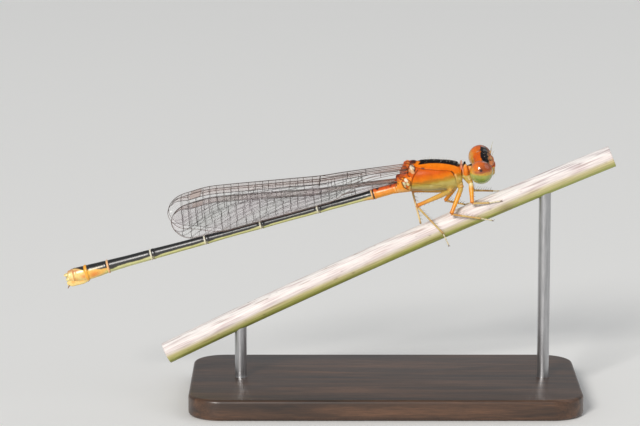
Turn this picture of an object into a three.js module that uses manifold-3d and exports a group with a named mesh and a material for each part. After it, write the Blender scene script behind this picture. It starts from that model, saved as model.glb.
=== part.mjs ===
// A female forktail damselfly of the orange form, life size, perched on a short cut length of dry stem.
// Two thin pins on a flat base hold the stem at the slant it grew at.
// Millimetres, +Z up. The head points along +X, and the insect's left side is +Y.
import * as THREE from "three";
import { mergeVertices } from "three/addons/utils/BufferGeometryUtils.js";
import Module from "manifold-3d";

const wasm = await Module();
wasm.setup();

// ---- driving sizes ----
const GAP = 0.05; // between neighbouring pieces
const STEM_R = 0.73; // dry stem, radius
const STEM_FROM = [-11.55, 3.03]; // X, Z of the stem's axis at its low end
const STEM_MID = [3.3, 10.01];
const STEM_TO = [18.176, 16.411];
const BASE = { x: 3.1, long: 26, wide: 14, thick: 1.4, corner: 2.2, bevel: 0.2 };
const PIN_R = 0.4;
const PIN_AT = [-6.55, 13.75]; // X of the two pins

const BODY_TILT = (15.42 * Math.PI) / 180; // the abdomen slopes down from the thorax
const ABDOMEN_ROOT = [4.37, 14.41]; // X, Z
const WING_THICK = 0.5;
const LEG_R = 0.24; // femur in the solids
const SHIN_R = 0.22;
const FOOT_R = 0.21;
const FEELER_R = 0.22;
const HEAD = { at: [9.53, 0, 15.85], roll: (21 * Math.PI) / 180 };
const EYE = { back: 0.09, out: 1.04, r: [0.77, 0.66, 0.82] };

// ---- the part's look ----
const finish = (color, roughness, metalness = 0) =>
  new THREE.MeshStandardMaterial({ color, roughness, metalness });
const LOOK = {
  orange: finish(0xe07a1c, 0.4),
  eye: finish(0xb5541c, 0.2),
  dark: finish(0x17140f, 0.3),
  tip: finish(0xe0a050, 0.45),
  leg: finish(0xdc9a3c, 0.45),
  feeler: finish(0xb9a98c, 0.5),
  wing: finish(0xcfd4cc, 0.2),
  stem: finish(0xd9cdbd, 0.6),
  wood: finish(0x4a2f1e, 0.5),
  steel: finish(0x9a9a9c, 0.35, 1),
};

// ---- helpers ----
// Any closed three.js geometry as a solid whose faces point out.
function solid(geometry) {
  const g = (geometry.index ? geometry.toNonIndexed() : geometry).clone();
  g.deleteAttribute("normal");
  g.deleteAttribute("uv");
  const m = mergeVertices(g, 1e-4);
  const make = (tri) =>
    new wasm.Manifold(
      new wasm.Mesh({
        numProp: 3,
        vertProperties: m.attributes.position.array,
        triVerts: tri,
      }),
    );
  const tri = new Uint32Array(m.index.array);
  const made = make(tri);
  if (made.volume() > 0) return made;
  for (let i = 0; i < tri.length; i += 3)
    [tri[i + 1], tri[i + 2]] = [tri[i + 2], tri[i + 1]];
  return make(tri);
}

function shape(body) {
  const m = body.getMesh();
  const v = new Float32Array(m.numVert * 3);
  for (let i = 0; i < m.numVert; i++)
    v.set(m.vertProperties.subarray(i * m.numProp, i * m.numProp + 3), i * 3);
  const g = new THREE.BufferGeometry()
    .setAttribute("position", new THREE.BufferAttribute(v, 3))
    .setIndex(new THREE.BufferAttribute(new Uint32Array(m.triVerts), 1));
  g.computeVertexNormals();
  return g;
}

// Only the biggest piece, so that no crumb is left by a cut.
const biggest = (body) =>
  body.decompose().sort((a, b) => b.volume() - a.volume())[0];

const group = new THREE.Group();
function add(name, body, look) {
  const mesh = new THREE.Mesh(shape(biggest(body)), LOOK[look]);
  mesh.name = name;
  group.add(mesh);
}

function warp(geometry, f) {
  const p = geometry.attributes.position;
  for (let i = 0; i < p.count; i++)
    p.setXYZ(i, ...f(p.getX(i), p.getY(i), p.getZ(i)));
  return geometry;
}

// A value read off a short table of stations, eased between them. Row: [station, value, value, ...].
function along(table, s, column) {
  const last = table.length - 1;
  if (s <= table[0][0]) return table[0][column];
  if (s >= table[last][0]) return table[last][column];
  let i = 0;
  while (table[i + 1][0] < s) i++;
  const [a, b] = [table[i], table[i + 1]];
  const t = (s - a[0]) / (b[0] - a[0]);
  const slope = (j) =>
    j <= 0 || j >= last
      ? 0
      : (table[j + 1][column] - table[j - 1][column]) /
        (table[j + 1][0] - table[j - 1][0]);
  const h = b[0] - a[0];
  const [m0, m1] = [
    i === 0 ? (b[column] - a[column]) / h : slope(i),
    i + 1 === last ? (b[column] - a[column]) / h : slope(i + 1),
  ];
  const t2 = t * t,
    t3 = t2 * t;
  return (
    (2 * t3 - 3 * t2 + 1) * a[column] +
    (t3 - 2 * t2 + t) * h * m0 +
    (-2 * t3 + 3 * t2) * b[column] +
    (t3 - t2) * h * m1
  );
}

// A closed tube whose section at t (0 to 1) and angle comes from f, made from a cylinder.
function loft(rows, sides, f) {
  return solid(
    warp(new THREE.CylinderGeometry(1, 1, 1, sides, rows), (x, y, z) =>
      f(y + 0.5, Math.atan2(z, x), Math.hypot(x, z)),
    ),
  );
}

const V = (p) => new THREE.Vector3(...p);

// A tapered piece with round ends from a to b, with those ends' tips a little inside a and b.
function limb(a, b, ra, rb, sides = 8) {
  const from = V(a),
    to = V(b),
    long = from.distanceTo(to);
  const profile = [
    [0, 0],
    [ra * 0.7, ra * 0.18],
    [ra, ra * 0.7],
    [rb, long - rb * 0.7],
    [rb * 0.7, long - rb * 0.18],
    [0, long],
  ].map(([r, y]) => new THREE.Vector2(r, y));
  const g = new THREE.LatheGeometry(profile, sides);
  g.applyQuaternion(
    new THREE.Quaternion().setFromUnitVectors(
      new THREE.Vector3(0, 1, 0),
      to.clone().sub(from).normalize(),
    ),
  );
  g.translate(...a);
  return solid(g);
}

function ball(at, r, around = 14, rows = 9) {
  const radii = Array.isArray(r) ? r : [r, r, r];
  return solid(
    warp(new THREE.SphereGeometry(1, around, rows), (x, y, z) => [
      at[0] + x * radii[0],
      at[1] + z * radii[1],
      at[2] + y * radii[2],
    ]),
  );
}

// A point given forward, to the left and up of the head's middle, with the head rolled.
function onHead([x, y, z]) {
  const c = Math.cos(HEAD.roll),
    s = Math.sin(HEAD.roll);
  return [
    HEAD.at[0] + x,
    HEAD.at[1] + y * c - z * s,
    HEAD.at[2] + y * s + z * c,
  ];
}
function headBall(at, radii, around, rows) {
  return solid(
    warp(
      new THREE.SphereGeometry(1, around, rows),
      (x, y, z) =>
        onHead([
          at[0] + x * radii[0],
          at[1] + z * radii[1],
          at[2] + y * radii[2],
        ]),
    ),
  );
}

// ---- the stem, gently bowed, and where its axis runs ----
const stemPath = new THREE.QuadraticBezierCurve3(
  V([STEM_FROM[0], 0, STEM_FROM[1]]),
  V([
    2 * STEM_MID[0] - (STEM_FROM[0] + STEM_TO[0]) / 2,
    0,
    2 * STEM_MID[1] - (STEM_FROM[1] + STEM_TO[1]) / 2,
  ]),
  V([STEM_TO[0], 0, STEM_TO[1]]),
);
const stemAt = (x) => {
  let lo = 0,
    hi = 1;
  for (let i = 0; i < 40; i++) {
    const mid = (lo + hi) / 2;
    if (stemPath.getPoint(mid).x < x) lo = mid;
    else hi = mid;
  }
  return lo;
};
// Moves a foot or shin point out from the stem's axis until a piece of that radius clears the stem.
function offStem(p, r) {
  const at = V(p);
  let t = stemAt(p[0]);
  for (let i = 0; i < 4; i++) {
    const c = stemPath.getPoint(t),
      d = stemPath.getTangent(t);
    t += at.clone().sub(c).dot(d) / stemPath.getLength();
  }
  const c = stemPath.getPoint(t),
    out = at.clone().sub(c);
  const need = STEM_R + r + GAP;
  if (out.length() < need) at.copy(c).add(out.setLength(need));
  return at.toArray();
}

const disc = new THREE.Shape().absarc(0, 0, STEM_R, 0, 2 * Math.PI, false);
add(
  "stem",
  solid(
    new THREE.ExtrudeGeometry(disc, {
      steps: 16,
      curveSegments: 10,
      bevelEnabled: false,
      extrudePath: stemPath,
    }),
  ),
  "stem",
);

// ---- the stand ----
{
  const { long, wide, corner: r, bevel, thick } = BASE;
  const [a, b] = [long / 2 - bevel, wide / 2 - bevel];
  const outline = new THREE.Shape()
    .moveTo(-a + r, -b)
    .lineTo(a - r, -b)
    .absarc(a - r, -b + r, r, -Math.PI / 2, 0, false)
    .lineTo(a, b - r)
    .absarc(a - r, b - r, r, 0, Math.PI / 2, false)
    .lineTo(-a + r, b)
    .absarc(-a + r, b - r, r, Math.PI / 2, Math.PI, false)
    .lineTo(-a, -b + r)
    .absarc(-a + r, -b + r, r, Math.PI, 1.5 * Math.PI, false);
  const plate = new THREE.ExtrudeGeometry(outline, {
    depth: thick - 2 * bevel,
    curveSegments: 6,
    bevelEnabled: true,
    bevelThickness: bevel,
    bevelSize: bevel,
    bevelSegments: 1,
  });
  plate.translate(BASE.x, 0, bevel);
  add("stand_base", solid(plate), "wood");

  PIN_AT.forEach((x, i) => {
    const t = stemAt(x);
    const top =
      stemPath.getPoint(t).z - STEM_R / Math.cos(Math.atan2(
        stemPath.getTangent(t).z, stemPath.getTangent(t).x));
    const tall = top - thick - GAP;
    const pin = new THREE.CylinderGeometry(PIN_R, PIN_R, tall + 0.4, 14);
    pin.rotateX(Math.PI / 2);
    pin.translate(x, 0, thick + GAP + (tall + 0.4) / 2);
    // its top is cut to the underside of the stem, with a small gap
    const seat = new THREE.Shape().absarc(0, 0, STEM_R + GAP, 0, 2 * Math.PI, false);
    const cutter = new THREE.ExtrudeGeometry(seat, {
      steps: 16,
      curveSegments: 12,
      bevelEnabled: false,
      extrudePath: stemPath,
    });
    add(
      ["stand_pin_low", "stand_pin_high"][i],
      solid(pin).subtract(solid(cutter)),
      "steel",
    );
  });
}

// ---- synthorax: deep and narrow, with a keel along its back ----
// Row: [X, top Z, bottom Z, half width]
const THORAX = [
  [3.96, 14.95, 13.98, 0.4],
  [4.25, 15.52, 13.98, 0.6],
  [4.55, 15.9, 14.0, 0.74],
  [4.95, 16.08, 14.06, 0.86],
  [5.45, 16.16, 14.08, 0.98],
  [6.15, 16.21, 14.1, 1.03],
  [6.85, 16.18, 14.16, 1.02],
  [7.5, 16.13, 14.2, 0.94],
  [7.9, 16.0, 14.3, 0.82],
  [8.12, 15.78, 14.55, 0.66],
];
function thorax(grow) {
  const [x0, x1] = [THORAX[0][0] - grow, THORAX[THORAX.length - 1][0] + grow];
  return loft(14, 20, (t, a, r) => {
    const x = x0 + t * (x1 - x0);
    const top = along(THORAX, x, 1) + grow,
      low = along(THORAX, x, 2) - grow,
      w = along(THORAX, x, 3) + grow;
    const s = Math.sin(a),
      c = Math.cos(a);
    const keel = s > 0 ? 1 - 0.26 * s * s : 1;
    return [
      x,
      r * w * Math.sign(c) * Math.abs(c) ** 0.85 * keel,
      (top + low) / 2 + (r * s * (top - low)) / 2,
    ];
  });
}
add("thorax", thorax(0), "orange");

// ---- prothorax, neck ----
const proAt = [8.47, 0, 15.43];
const prothorax = (grow) =>
  loft(6, 16, (t, a, r) => {
    const round = Math.sqrt(Math.max(0, 1 - (2 * t - 1) ** 2 * 0.55));
    return [
      proAt[0] + (t - 0.5) * (0.56 + 2 * grow),
      r * (0.62 * round + grow) * Math.cos(a),
      proAt[2] + r * (0.56 * round + grow) * Math.sin(a),
    ];
  });
add("prothorax", prothorax(0).subtract(thorax(GAP)), "orange");

// ---- head ----
const eye = (side, grow = 0) =>
  headBall(
    [-EYE.back, side * EYE.out, 0],
    EYE.r.map((r) => r + grow),
    18,
    12,
  );
const skull = (grow = 0) =>
  headBall([0.02, 0, 0.0], [0.66 + grow, 1.24 + grow, 0.66 + grow], 22, 14);
const face = headBall([0.42, 0, -0.34], [0.5, 0.56, 0.5], 14, 10);
const jaws = headBall([0.22, 0, -0.72], [0.42, 0.42, 0.26], 12, 8);
const neck = (grow = 0) =>
  limb([8.6, 0, 15.52], [9.3, 0, 15.72], 0.3 + grow, 0.3 + grow, 12);
const bothEyes = (grow) => eye(1, grow).add(eye(-1, grow));
add(
  "head",
  skull().add(face).subtract(bothEyes(GAP)).subtract(prothorax(GAP)),
  "orange",
);
add(
  "mouthparts",
  jaws.subtract(skull(GAP)).subtract(
    headBall([0.42, 0, -0.34], [0.5 + GAP, 0.56 + GAP, 0.5 + GAP], 14, 10),
  ).subtract(bothEyes(GAP)),
  "tip",
);
add("eye_left", eye(1), "eye");
add("eye_right", eye(-1), "eye");
add(
  "neck",
  neck().subtract(skull(GAP)).subtract(prothorax(GAP)).subtract(bothEyes(GAP)),
  "orange",
);
for (const side of [1, -1]) {
  const root = [0.52, side * 0.3, 0.36],
    end = [0.52 + 0.3, side * 0.66, 1.36];
  add(
    side > 0 ? "antenna_left" : "antenna_right",
    limb(onHead(root), onHead(end), FEELER_R, FEELER_R, 8)
      .subtract(skull(GAP))
      .subtract(bothEyes(GAP)),
    "feeler",
  );
}

// ---- abdomen: ten segments down a straight slope ----
// Row: [distance from the root, half height, half width, drop of the middle]
const ABDOMEN = [
  [0.0, 0.42, 0.42, 0.02],
  [0.55, 0.33, 0.35, 0],
  [1.3, 0.335, 0.355, 0],
  [2.18, 0.34, 0.33, 0],
  [2.6, 0.285, 0.27, 0],
  [4.2, 0.265, 0.25, 0],
  [5.95, 0.265, 0.25, 0],
  [8.0, 0.25, 0.24, 0],
  [9.9, 0.265, 0.255, 0],
  [12.0, 0.265, 0.25, 0],
  [13.73, 0.3, 0.275, 0],
  [15.6, 0.32, 0.29, 0],
  [17.46, 0.355, 0.315, 0],
  [19.0, 0.365, 0.325, 0],
  [20.5, 0.42, 0.36, 0.01],
  [21.3, 0.47, 0.385, 0.04],
  [21.99, 0.5, 0.39, 0.04],
  [22.89, 0.44, 0.35, -0.02],
  [23.3, 0.34, 0.27, -0.03],
];
const JOINTS = [0.0, 0.55, 2.18, 5.95, 9.89, 13.73, 17.46, 20.5, 21.99, 22.89, 23.3];
const DOWN_SLOPE = [-Math.cos(BODY_TILT), -Math.sin(BODY_TILT)]; // X, Z
const UP_SLOPE = [-Math.sin(BODY_TILT), Math.cos(BODY_TILT)];
// A point s along the abdomen, y to the left and h above its middle line.
const onAbdomen = (s, y, h) => [
  ABDOMEN_ROOT[0] + s * DOWN_SLOPE[0] + h * UP_SLOPE[0],
  y,
  ABDOMEN_ROOT[1] + s * DOWN_SLOPE[1] + h * UP_SLOPE[1],
];
function ring(from, to, grow = 0, rows = 5) {
  return loft(rows, 14, (t, a, r) => {
    const s = from + t * (to - from);
    return onAbdomen(
      s,
      r * (along(ABDOMEN, s, 2) + grow) * Math.cos(a),
      r * (along(ABDOMEN, s, 1) + grow) * Math.sin(a) - along(ABDOMEN, s, 3),
    );
  });
}
// the egg-laying blades under the last three segments
const blades = (grow = 0) =>
  loft(6, 12, (t, a, r) => {
    const s = 21.75 + t * 1.75,
      full = Math.sin(Math.PI * Math.min(1, 0.12 + t * 0.8)) ** 0.6;
    return onAbdomen(
      s,
      r * (0.17 * full + grow) * Math.cos(a),
      -0.5 + 0.06 * t + r * (0.24 * full + grow) * Math.sin(a),
    );
  });
for (let i = 1; i <= 10; i++) {
  let piece = ring(
    JOINTS[i - 1] + GAP / 2,
    JOINTS[i] - GAP / 2,
    0,
    [2, 3, 5, 4, 4, 4, 4, 4, 3, 2][i - 1],
  );
  if (i === 1) piece = piece.subtract(thorax(GAP));
  if (i === 10)
    for (const side of [1, -1])
      piece = piece
        .add(limb(onAbdomen(23.1, side * 0.13, 0.15), onAbdomen(23.62, side * 0.2, 0.2), 0.13, 0.1))
        .add(limb(onAbdomen(23.1, side * 0.12, -0.1), onAbdomen(23.55, side * 0.13, -0.12), 0.12, 0.1));
  if (i >= 8) piece = piece.subtract(blades(GAP));
  add("abdomen_" + i, piece, i < 3 ? "orange" : i > 7 ? "tip" : "dark");
}
add("ovipositor", blades(), "tip");

// ---- wings, closed over the back ----
// Row: [distance from the hinge, leading edge, trailing edge], both edges measured down from a straight line
const FORE = {
  root: [4.63, 15.82],
  droop: (7 * Math.PI) / 180,
  edge: [
    [0.0, 0.0, 0.42],
    [1.6, 0.02, 0.5],
    [3.0, 0.04, 0.72],
    [4.4, 0.07, 1.32],
    [5.9, 0.12, 1.95],
    [8.0, 0.06, 2.5],
    [10.0, 0.0, 2.8],
    [12.0, -0.06, 2.9],
    [13.6, -0.05, 2.72],
    [15.0, 0.24, 2.28],
    [15.8, 0.66, 1.82],
    [16.25, 1.22, 1.3],
  ],
};
const HIND = {
  root: [4.03, 14.9],
  droop: (6 * Math.PI) / 180,
  edge: [
    [0.0, 0.0, 0.42],
    [1.4, 0.02, 0.5],
    [2.8, 0.05, 0.8],
    [4.0, 0.09, 1.4],
    [5.4, 0.14, 2.05],
    [7.4, 0.08, 2.62],
    [9.4, 0.02, 2.92],
    [11.4, -0.03, 3.0],
    [12.8, 0.0, 2.84],
    [14.2, 0.32, 2.42],
    [15.0, 0.8, 2.0],
    [15.4, 1.34, 1.44],
  ],
};
function wing({ root, droop, edge }, yNear, yFar) {
  const reach = edge[edge.length - 1][0];
  const e = [-Math.cos(droop), -Math.sin(droop)],
    n = [Math.sin(droop), -Math.cos(droop)];
  const at = (x, c) => [root[0] + x * e[0] + c * n[0], root[1] + x * e[1] + c * n[1]];
  const line = [];
  const steps = 18;
  for (let i = 0; i <= steps; i++) {
    const x = reach * Math.sin(((i / steps) * Math.PI) / 2);
    line.push(at(x, along(edge, x, 1)));
  }
  for (let i = steps; i >= 0; i--) {
    const x = reach * Math.sin(((i / steps) * Math.PI) / 2);
    let p = at(x, along(edge, x, 2));
    // folded, a wing's rear edge lies along the top of the abdomen
    const s = (ABDOMEN_ROOT[0] - p[0]) / Math.cos(BODY_TILT);
    if (s > 0) {
      const top = onAbdomen(s, 0, along(ABDOMEN, s, 1) + GAP + 0.04);
      if (p[1] < top[2]) p = [p[0], top[2]];
    }
    line.push(p);
  }
  const outline = new THREE.Shape(line.map(([x, z]) => new THREE.Vector2(x, z)));
  const g = new THREE.ExtrudeGeometry(outline, {
    depth: yFar - yNear,
    bevelEnabled: false,
  });
  warp(g, (x, z, y) => [x, yNear + y, z]);
  return solid(g).subtract(thorax(GAP)).subtract(ring(0, 2.2, GAP, 4));
}
const inner = 0.03,
  outer = inner + WING_THICK + GAP;
add("wing_hind_left", wing(HIND, inner, inner + WING_THICK), "wing");
add("wing_hind_right", wing(HIND, -inner - WING_THICK, -inner), "wing");
add("wing_fore_left", wing(FORE, outer, outer + WING_THICK), "wing");
add("wing_fore_right", wing(FORE, -outer - WING_THICK, -outer), "wing");

// ---- legs: each point is [X, Y, Z]; feet lie against the stem ----
const LEGS = {
  fore_right: {
    hip: [8.6, -0.36, 15.1],
    trochanter: [8.78, -0.52, 14.72],
    knee: [8.89, -1.02, 13.42],
    ankle: [10.0, -0.84, 13.4],
    toe: [10.75, -0.74, 13.5],
  },
  mid_right: {
    hip: [8.0, -0.42, 14.9],
    trochanter: [8.16, -0.66, 14.42],
    knee: [7.54, -1.2, 12.74],
    ankle: [9.45, -0.82, 12.34],
    toe: [10.2, -0.64, 12.18],
  },
  hind_right: {
    hip: [7.6, -0.4, 14.6],
    trochanter: [7.38, -0.66, 14.14],
    knee: [5.25, -1.32, 13.32],
    ankle: [6.95, -0.82, 11.33],
    toe: [7.33, -0.64, 10.52],
  },
  fore_left: {
    hip: [8.6, 0.36, 15.1],
    trochanter: [8.76, 0.52, 14.66],
    knee: [9.0, 1.04, 13.92],
    ankle: [10.3, 0.38, 14.0],
    toe: [11.0, 0.66, 13.95],
  },
  mid_left: {
    hip: [8.0, 0.42, 14.9],
    trochanter: [7.86, 0.66, 14.3],
    knee: [7.16, 1.2, 13.2],
    ankle: [8.46, 0.5, 13.06],
    toe: [9.15, 0.4, 13.25],
  },
  hind_left: {
    hip: [7.6, 0.4, 14.6],
    trochanter: [7.3, 0.72, 14.0],
    knee: [4.95, 1.42, 13.84],
    ankle: [5.5, 0.6, 11.75],
    toe: [5.9, 0.74, 11.1],
  },
};
const toward = (a, b, d) => {
  const p = V(a),
    q = V(b);
  return p.add(q.sub(p).setLength(d)).toArray();
};
for (const [name, leg] of Object.entries(LEGS)) {
  const half = GAP / 2;
  const ankle = offStem(leg.ankle, SHIN_R),
    toe = offStem(leg.toe, FOOT_R);
  add(
    "leg_" + name + "_hip",
    limb(leg.hip, toward(leg.trochanter, leg.hip, half), 0.3, LEG_R)
      .subtract(thorax(GAP))
      .subtract(prothorax(GAP)),
    "leg",
  );
  add(
    "leg_" + name + "_femur",
    limb(
      toward(leg.trochanter, leg.knee, half),
      toward(leg.knee, leg.trochanter, half),
      LEG_R,
      LEG_R,
    )
      .subtract(thorax(GAP))
      .subtract(limb(leg.hip, toward(leg.trochanter, leg.hip, half), 0.3 + GAP, LEG_R + GAP)),
    "leg",
  );
  add(
    "leg_" + name + "_tibia",
    limb(
      toward(leg.knee, ankle, half),
      toward(ankle, leg.knee, half),
      SHIN_R,
      SHIN_R,
    ).subtract(
      limb(
        toward(leg.trochanter, leg.knee, half),
        toward(leg.knee, leg.trochanter, half),
        LEG_R + GAP,
        LEG_R + GAP,
      ),
    ),
    "leg",
  );
  add(
    "leg_" + name + "_tarsus",
    limb(toward(ankle, toe, half), toe, FOOT_R, FOOT_R).subtract(
      limb(
        toward(leg.knee, ankle, half),
        toward(ankle, leg.knee, half),
        SHIN_R + GAP,
        SHIN_R + GAP,
      ),
    ),
    "leg",
  );
}

export default group;
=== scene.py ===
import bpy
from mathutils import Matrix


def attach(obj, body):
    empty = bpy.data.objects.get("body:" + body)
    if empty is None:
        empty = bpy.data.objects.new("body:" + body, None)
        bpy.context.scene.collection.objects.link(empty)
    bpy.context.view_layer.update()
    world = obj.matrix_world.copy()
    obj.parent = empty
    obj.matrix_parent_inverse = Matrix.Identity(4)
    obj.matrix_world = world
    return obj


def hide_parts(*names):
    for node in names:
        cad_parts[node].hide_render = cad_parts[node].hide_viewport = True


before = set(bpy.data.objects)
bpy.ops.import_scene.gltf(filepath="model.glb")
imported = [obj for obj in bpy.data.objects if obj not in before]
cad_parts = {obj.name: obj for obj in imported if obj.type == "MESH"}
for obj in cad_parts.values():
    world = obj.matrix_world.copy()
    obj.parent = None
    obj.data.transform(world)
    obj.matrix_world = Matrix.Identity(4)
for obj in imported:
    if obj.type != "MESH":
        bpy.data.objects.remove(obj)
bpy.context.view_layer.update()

# A female forktail damselfly of the orange form on a cut dry stem, with a plain stand.
# Shapes are worked out in millimetres and become metres as each mesh is made.
import math

import bpy
import numpy as np
import openvdb

RNG = np.random.default_rng(11)

# ---------------------------------------------------------------- sizes, as in the solids
STEM_R = 0.73
STEM_FROM = (-11.55, 3.03)
STEM_MID = (3.3, 10.01)
STEM_TO = (18.176, 16.411)
BASE = dict(x=3.1, long=26.0, wide=14.0, thick=1.4, corner=2.2)
PIN_R = 0.4
PIN_AT = (-6.55, 13.75)
TILT = math.radians(15.42)
ABDOMEN_ROOT = (4.37, 14.41)
HEAD_AT = (9.53, 0.0, 15.85)
ROLL = math.radians(21)
EYE_BACK = 0.09
EYE_OUT = 1.04
EYE_R = np.array([0.77, 0.66, 0.82])


# ---------------------------------------------------------------- small tools
def rgb(r, g, b):
    """An sRGB colour out of 255 as linear light."""
    c = np.array([r, g, b], float) / 255
    return np.where(c <= 0.04045, c / 12.92, ((c + 0.055) / 1.055) ** 2.4)


def step(a, b, x):
    t = np.clip((np.asarray(x, float) - a) / (b - a), 0, 1)
    return t * t * (3 - 2 * t)


def bump(x, at, width):
    return np.exp(-(((np.asarray(x, float) - at) / width) ** 2))


def paint(base, colour, mask):
    m = np.clip(np.asarray(mask, float), 0, 1)[..., None]
    return base * (1 - m) + np.asarray(colour) * m


def curve(table, x, column):
    """A smooth value off a table of stations."""
    t = np.asarray(table, float)
    X, Y = t[:, 0], t[:, column]
    x = np.clip(np.asarray(x, float), X[0], X[-1])
    i = np.clip(np.searchsorted(X, x, side="right") - 1, 0, len(X) - 2)
    slope = np.empty(len(X))
    slope[1:-1] = (Y[2:] - Y[:-2]) / (X[2:] - X[:-2])
    slope[0] = (Y[1] - Y[0]) / (X[1] - X[0])
    slope[-1] = (Y[-1] - Y[-2]) / (X[-1] - X[-2])
    h = X[i + 1] - X[i]
    u = (x - X[i]) / h
    u2, u3 = u * u, u * u * u
    return ((2 * u3 - 3 * u2 + 1) * Y[i] + (u3 - 2 * u2 + u) * h * slope[i]
            + (-2 * u3 + 3 * u2) * Y[i + 1] + (u3 - u2) * h * slope[i + 1])


def wobble(p, scale, seed=0):
    """Smooth noise from about -1 to 1 at each point, out of a few slanted waves."""
    r = np.random.default_rng(100 + seed)
    out = np.zeros(len(p))
    for k in range(7):
        d = r.normal(size=3)
        d /= np.linalg.norm(d)
        out += np.sin(p @ d * (2 * math.pi / scale) * r.uniform(0.6, 1.7) + r.uniform(0, 6.3))
    return out / 4.0


def unit(v):
    v = np.asarray(v, float)
    return v / np.maximum(np.linalg.norm(v, axis=-1, keepdims=True), 1e-12)


class Bag:
    """Many small pieces gathered into one mesh, each vertex with its colour and its place on the unwrap."""

    def __init__(self):
        self.v, self.f, self.c, self.u, self.n = [], [], [], [], 0

    def add(self, verts, faces, colour, uv=None):
        verts = np.asarray(verts, float)
        colour = np.asarray(colour, float)
        if colour.ndim == 1:
            colour = np.tile(colour, (len(verts), 1))
        self.v.append(verts)
        self.c.append(colour)
        self.u.append(np.zeros((len(verts), 2)) if uv is None else np.asarray(uv, float))
        self.f.extend([tuple(int(i) + self.n for i in face) for face in faces])
        self.n += len(verts)

    def mesh(self, name, material, smooth=True, uv=False):
        return make(name, np.concatenate(self.v), self.f, material,
                    np.concatenate(self.c), smooth, np.concatenate(self.u) if uv else None)


def make(name, verts, faces, material, colour=None, smooth=True, uv=None, replaces=()):
    me = bpy.data.meshes.new(name)
    if isinstance(faces, np.ndarray):
        faces = faces.tolist()
    me.from_pydata((np.asarray(verts, float) * 0.001).tolist(), [], faces)
    if colour is not None:
        colour = np.asarray(colour, float)
        if colour.ndim == 1:
            colour = np.tile(colour, (len(verts), 1))
        rgba = np.ones((len(verts), 4))
        rgba[:, :3] = colour
        layer = me.color_attributes.new("tint", "FLOAT_COLOR", "POINT")
        layer.data.foreach_set("color", rgba.ravel())
    if uv is not None:
        layer = me.uv_layers.new(name="OFBake")
        loops = np.empty(len(me.loops), np.int32)
        me.loops.foreach_get("vertex_index", loops)
        layer.data.foreach_set("uv", np.asarray(uv, np.float32)[loops].ravel())
    if smooth:
        me.shade_smooth()
    me.materials.append(material)
    me.validate()
    o = bpy.data.objects.new(name, me)
    bpy.context.scene.collection.objects.link(o)
    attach(o, "root")
    if replaces:
        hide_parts(*replaces)
    return o


def frames(path):
    P = np.asarray(path, float)
    T = unit(np.gradient(P, axis=0))
    side = np.array([0.0, 1.0, 0.0]) if abs(T[0, 1]) < 0.9 else np.array([1.0, 0.0, 0.0])
    N = np.empty_like(P)
    n = side
    for i in range(len(P)):
        n = n - T[i] * (n @ T[i])
        n = n / np.linalg.norm(n)
        N[i] = n
    return P, T, N, np.cross(T, N)


def tube(path, radii, sides=10, squash=1.0, cap=True):
    """Vertices and faces of a tapering tube along the path."""
    P, T, N, B = frames(path)
    n = len(P)
    radii = np.broadcast_to(np.asarray(radii, float), (n,))
    a = np.arange(sides) * 2 * math.pi / sides
    V = (P[:, None] + radii[:, None, None] * (np.cos(a)[None, :, None] * N[:, None]
         + squash * np.sin(a)[None, :, None] * B[:, None])).reshape(-1, 3)
    F = []
    for i in range(n - 1):
        for k in range(sides):
            k1 = (k + 1) % sides
            F.append((i * sides + k, i * sides + k1, (i + 1) * sides + k1, (i + 1) * sides + k))
    if cap:
        V = np.vstack([V, P[0], P[-1]])
        lo, hi = n * sides, n * sides + 1
        for k in range(sides):
            k1 = (k + 1) % sides
            F.append((lo, k1, k))
            F.append((hi, (n - 1) * sides + k, (n - 1) * sides + k1))
    return V, F


def grid_faces(rows, cols, wrap=False):
    F = []
    for i in range(rows - 1):
        for k in range(cols if wrap else cols - 1):
            k1 = (k + 1) % cols
            F.append((i * cols + k, i * cols + k1, (i + 1) * cols + k1, (i + 1) * cols + k))
    return F


def spine(root, direction, length, radius, bend=None, steps=4, sides=4):
    """A fine tapering hair or spine."""
    t = np.linspace(0, 1, steps)[:, None]
    d = unit(direction)
    p = np.asarray(root)[None] + d[None] * t * length
    if bend is not None:
        p = p + np.asarray(bend)[None] * (t ** 2) * length
    return tube(p, radius * (1 - 0.85 * t[:, 0]), sides)


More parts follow.
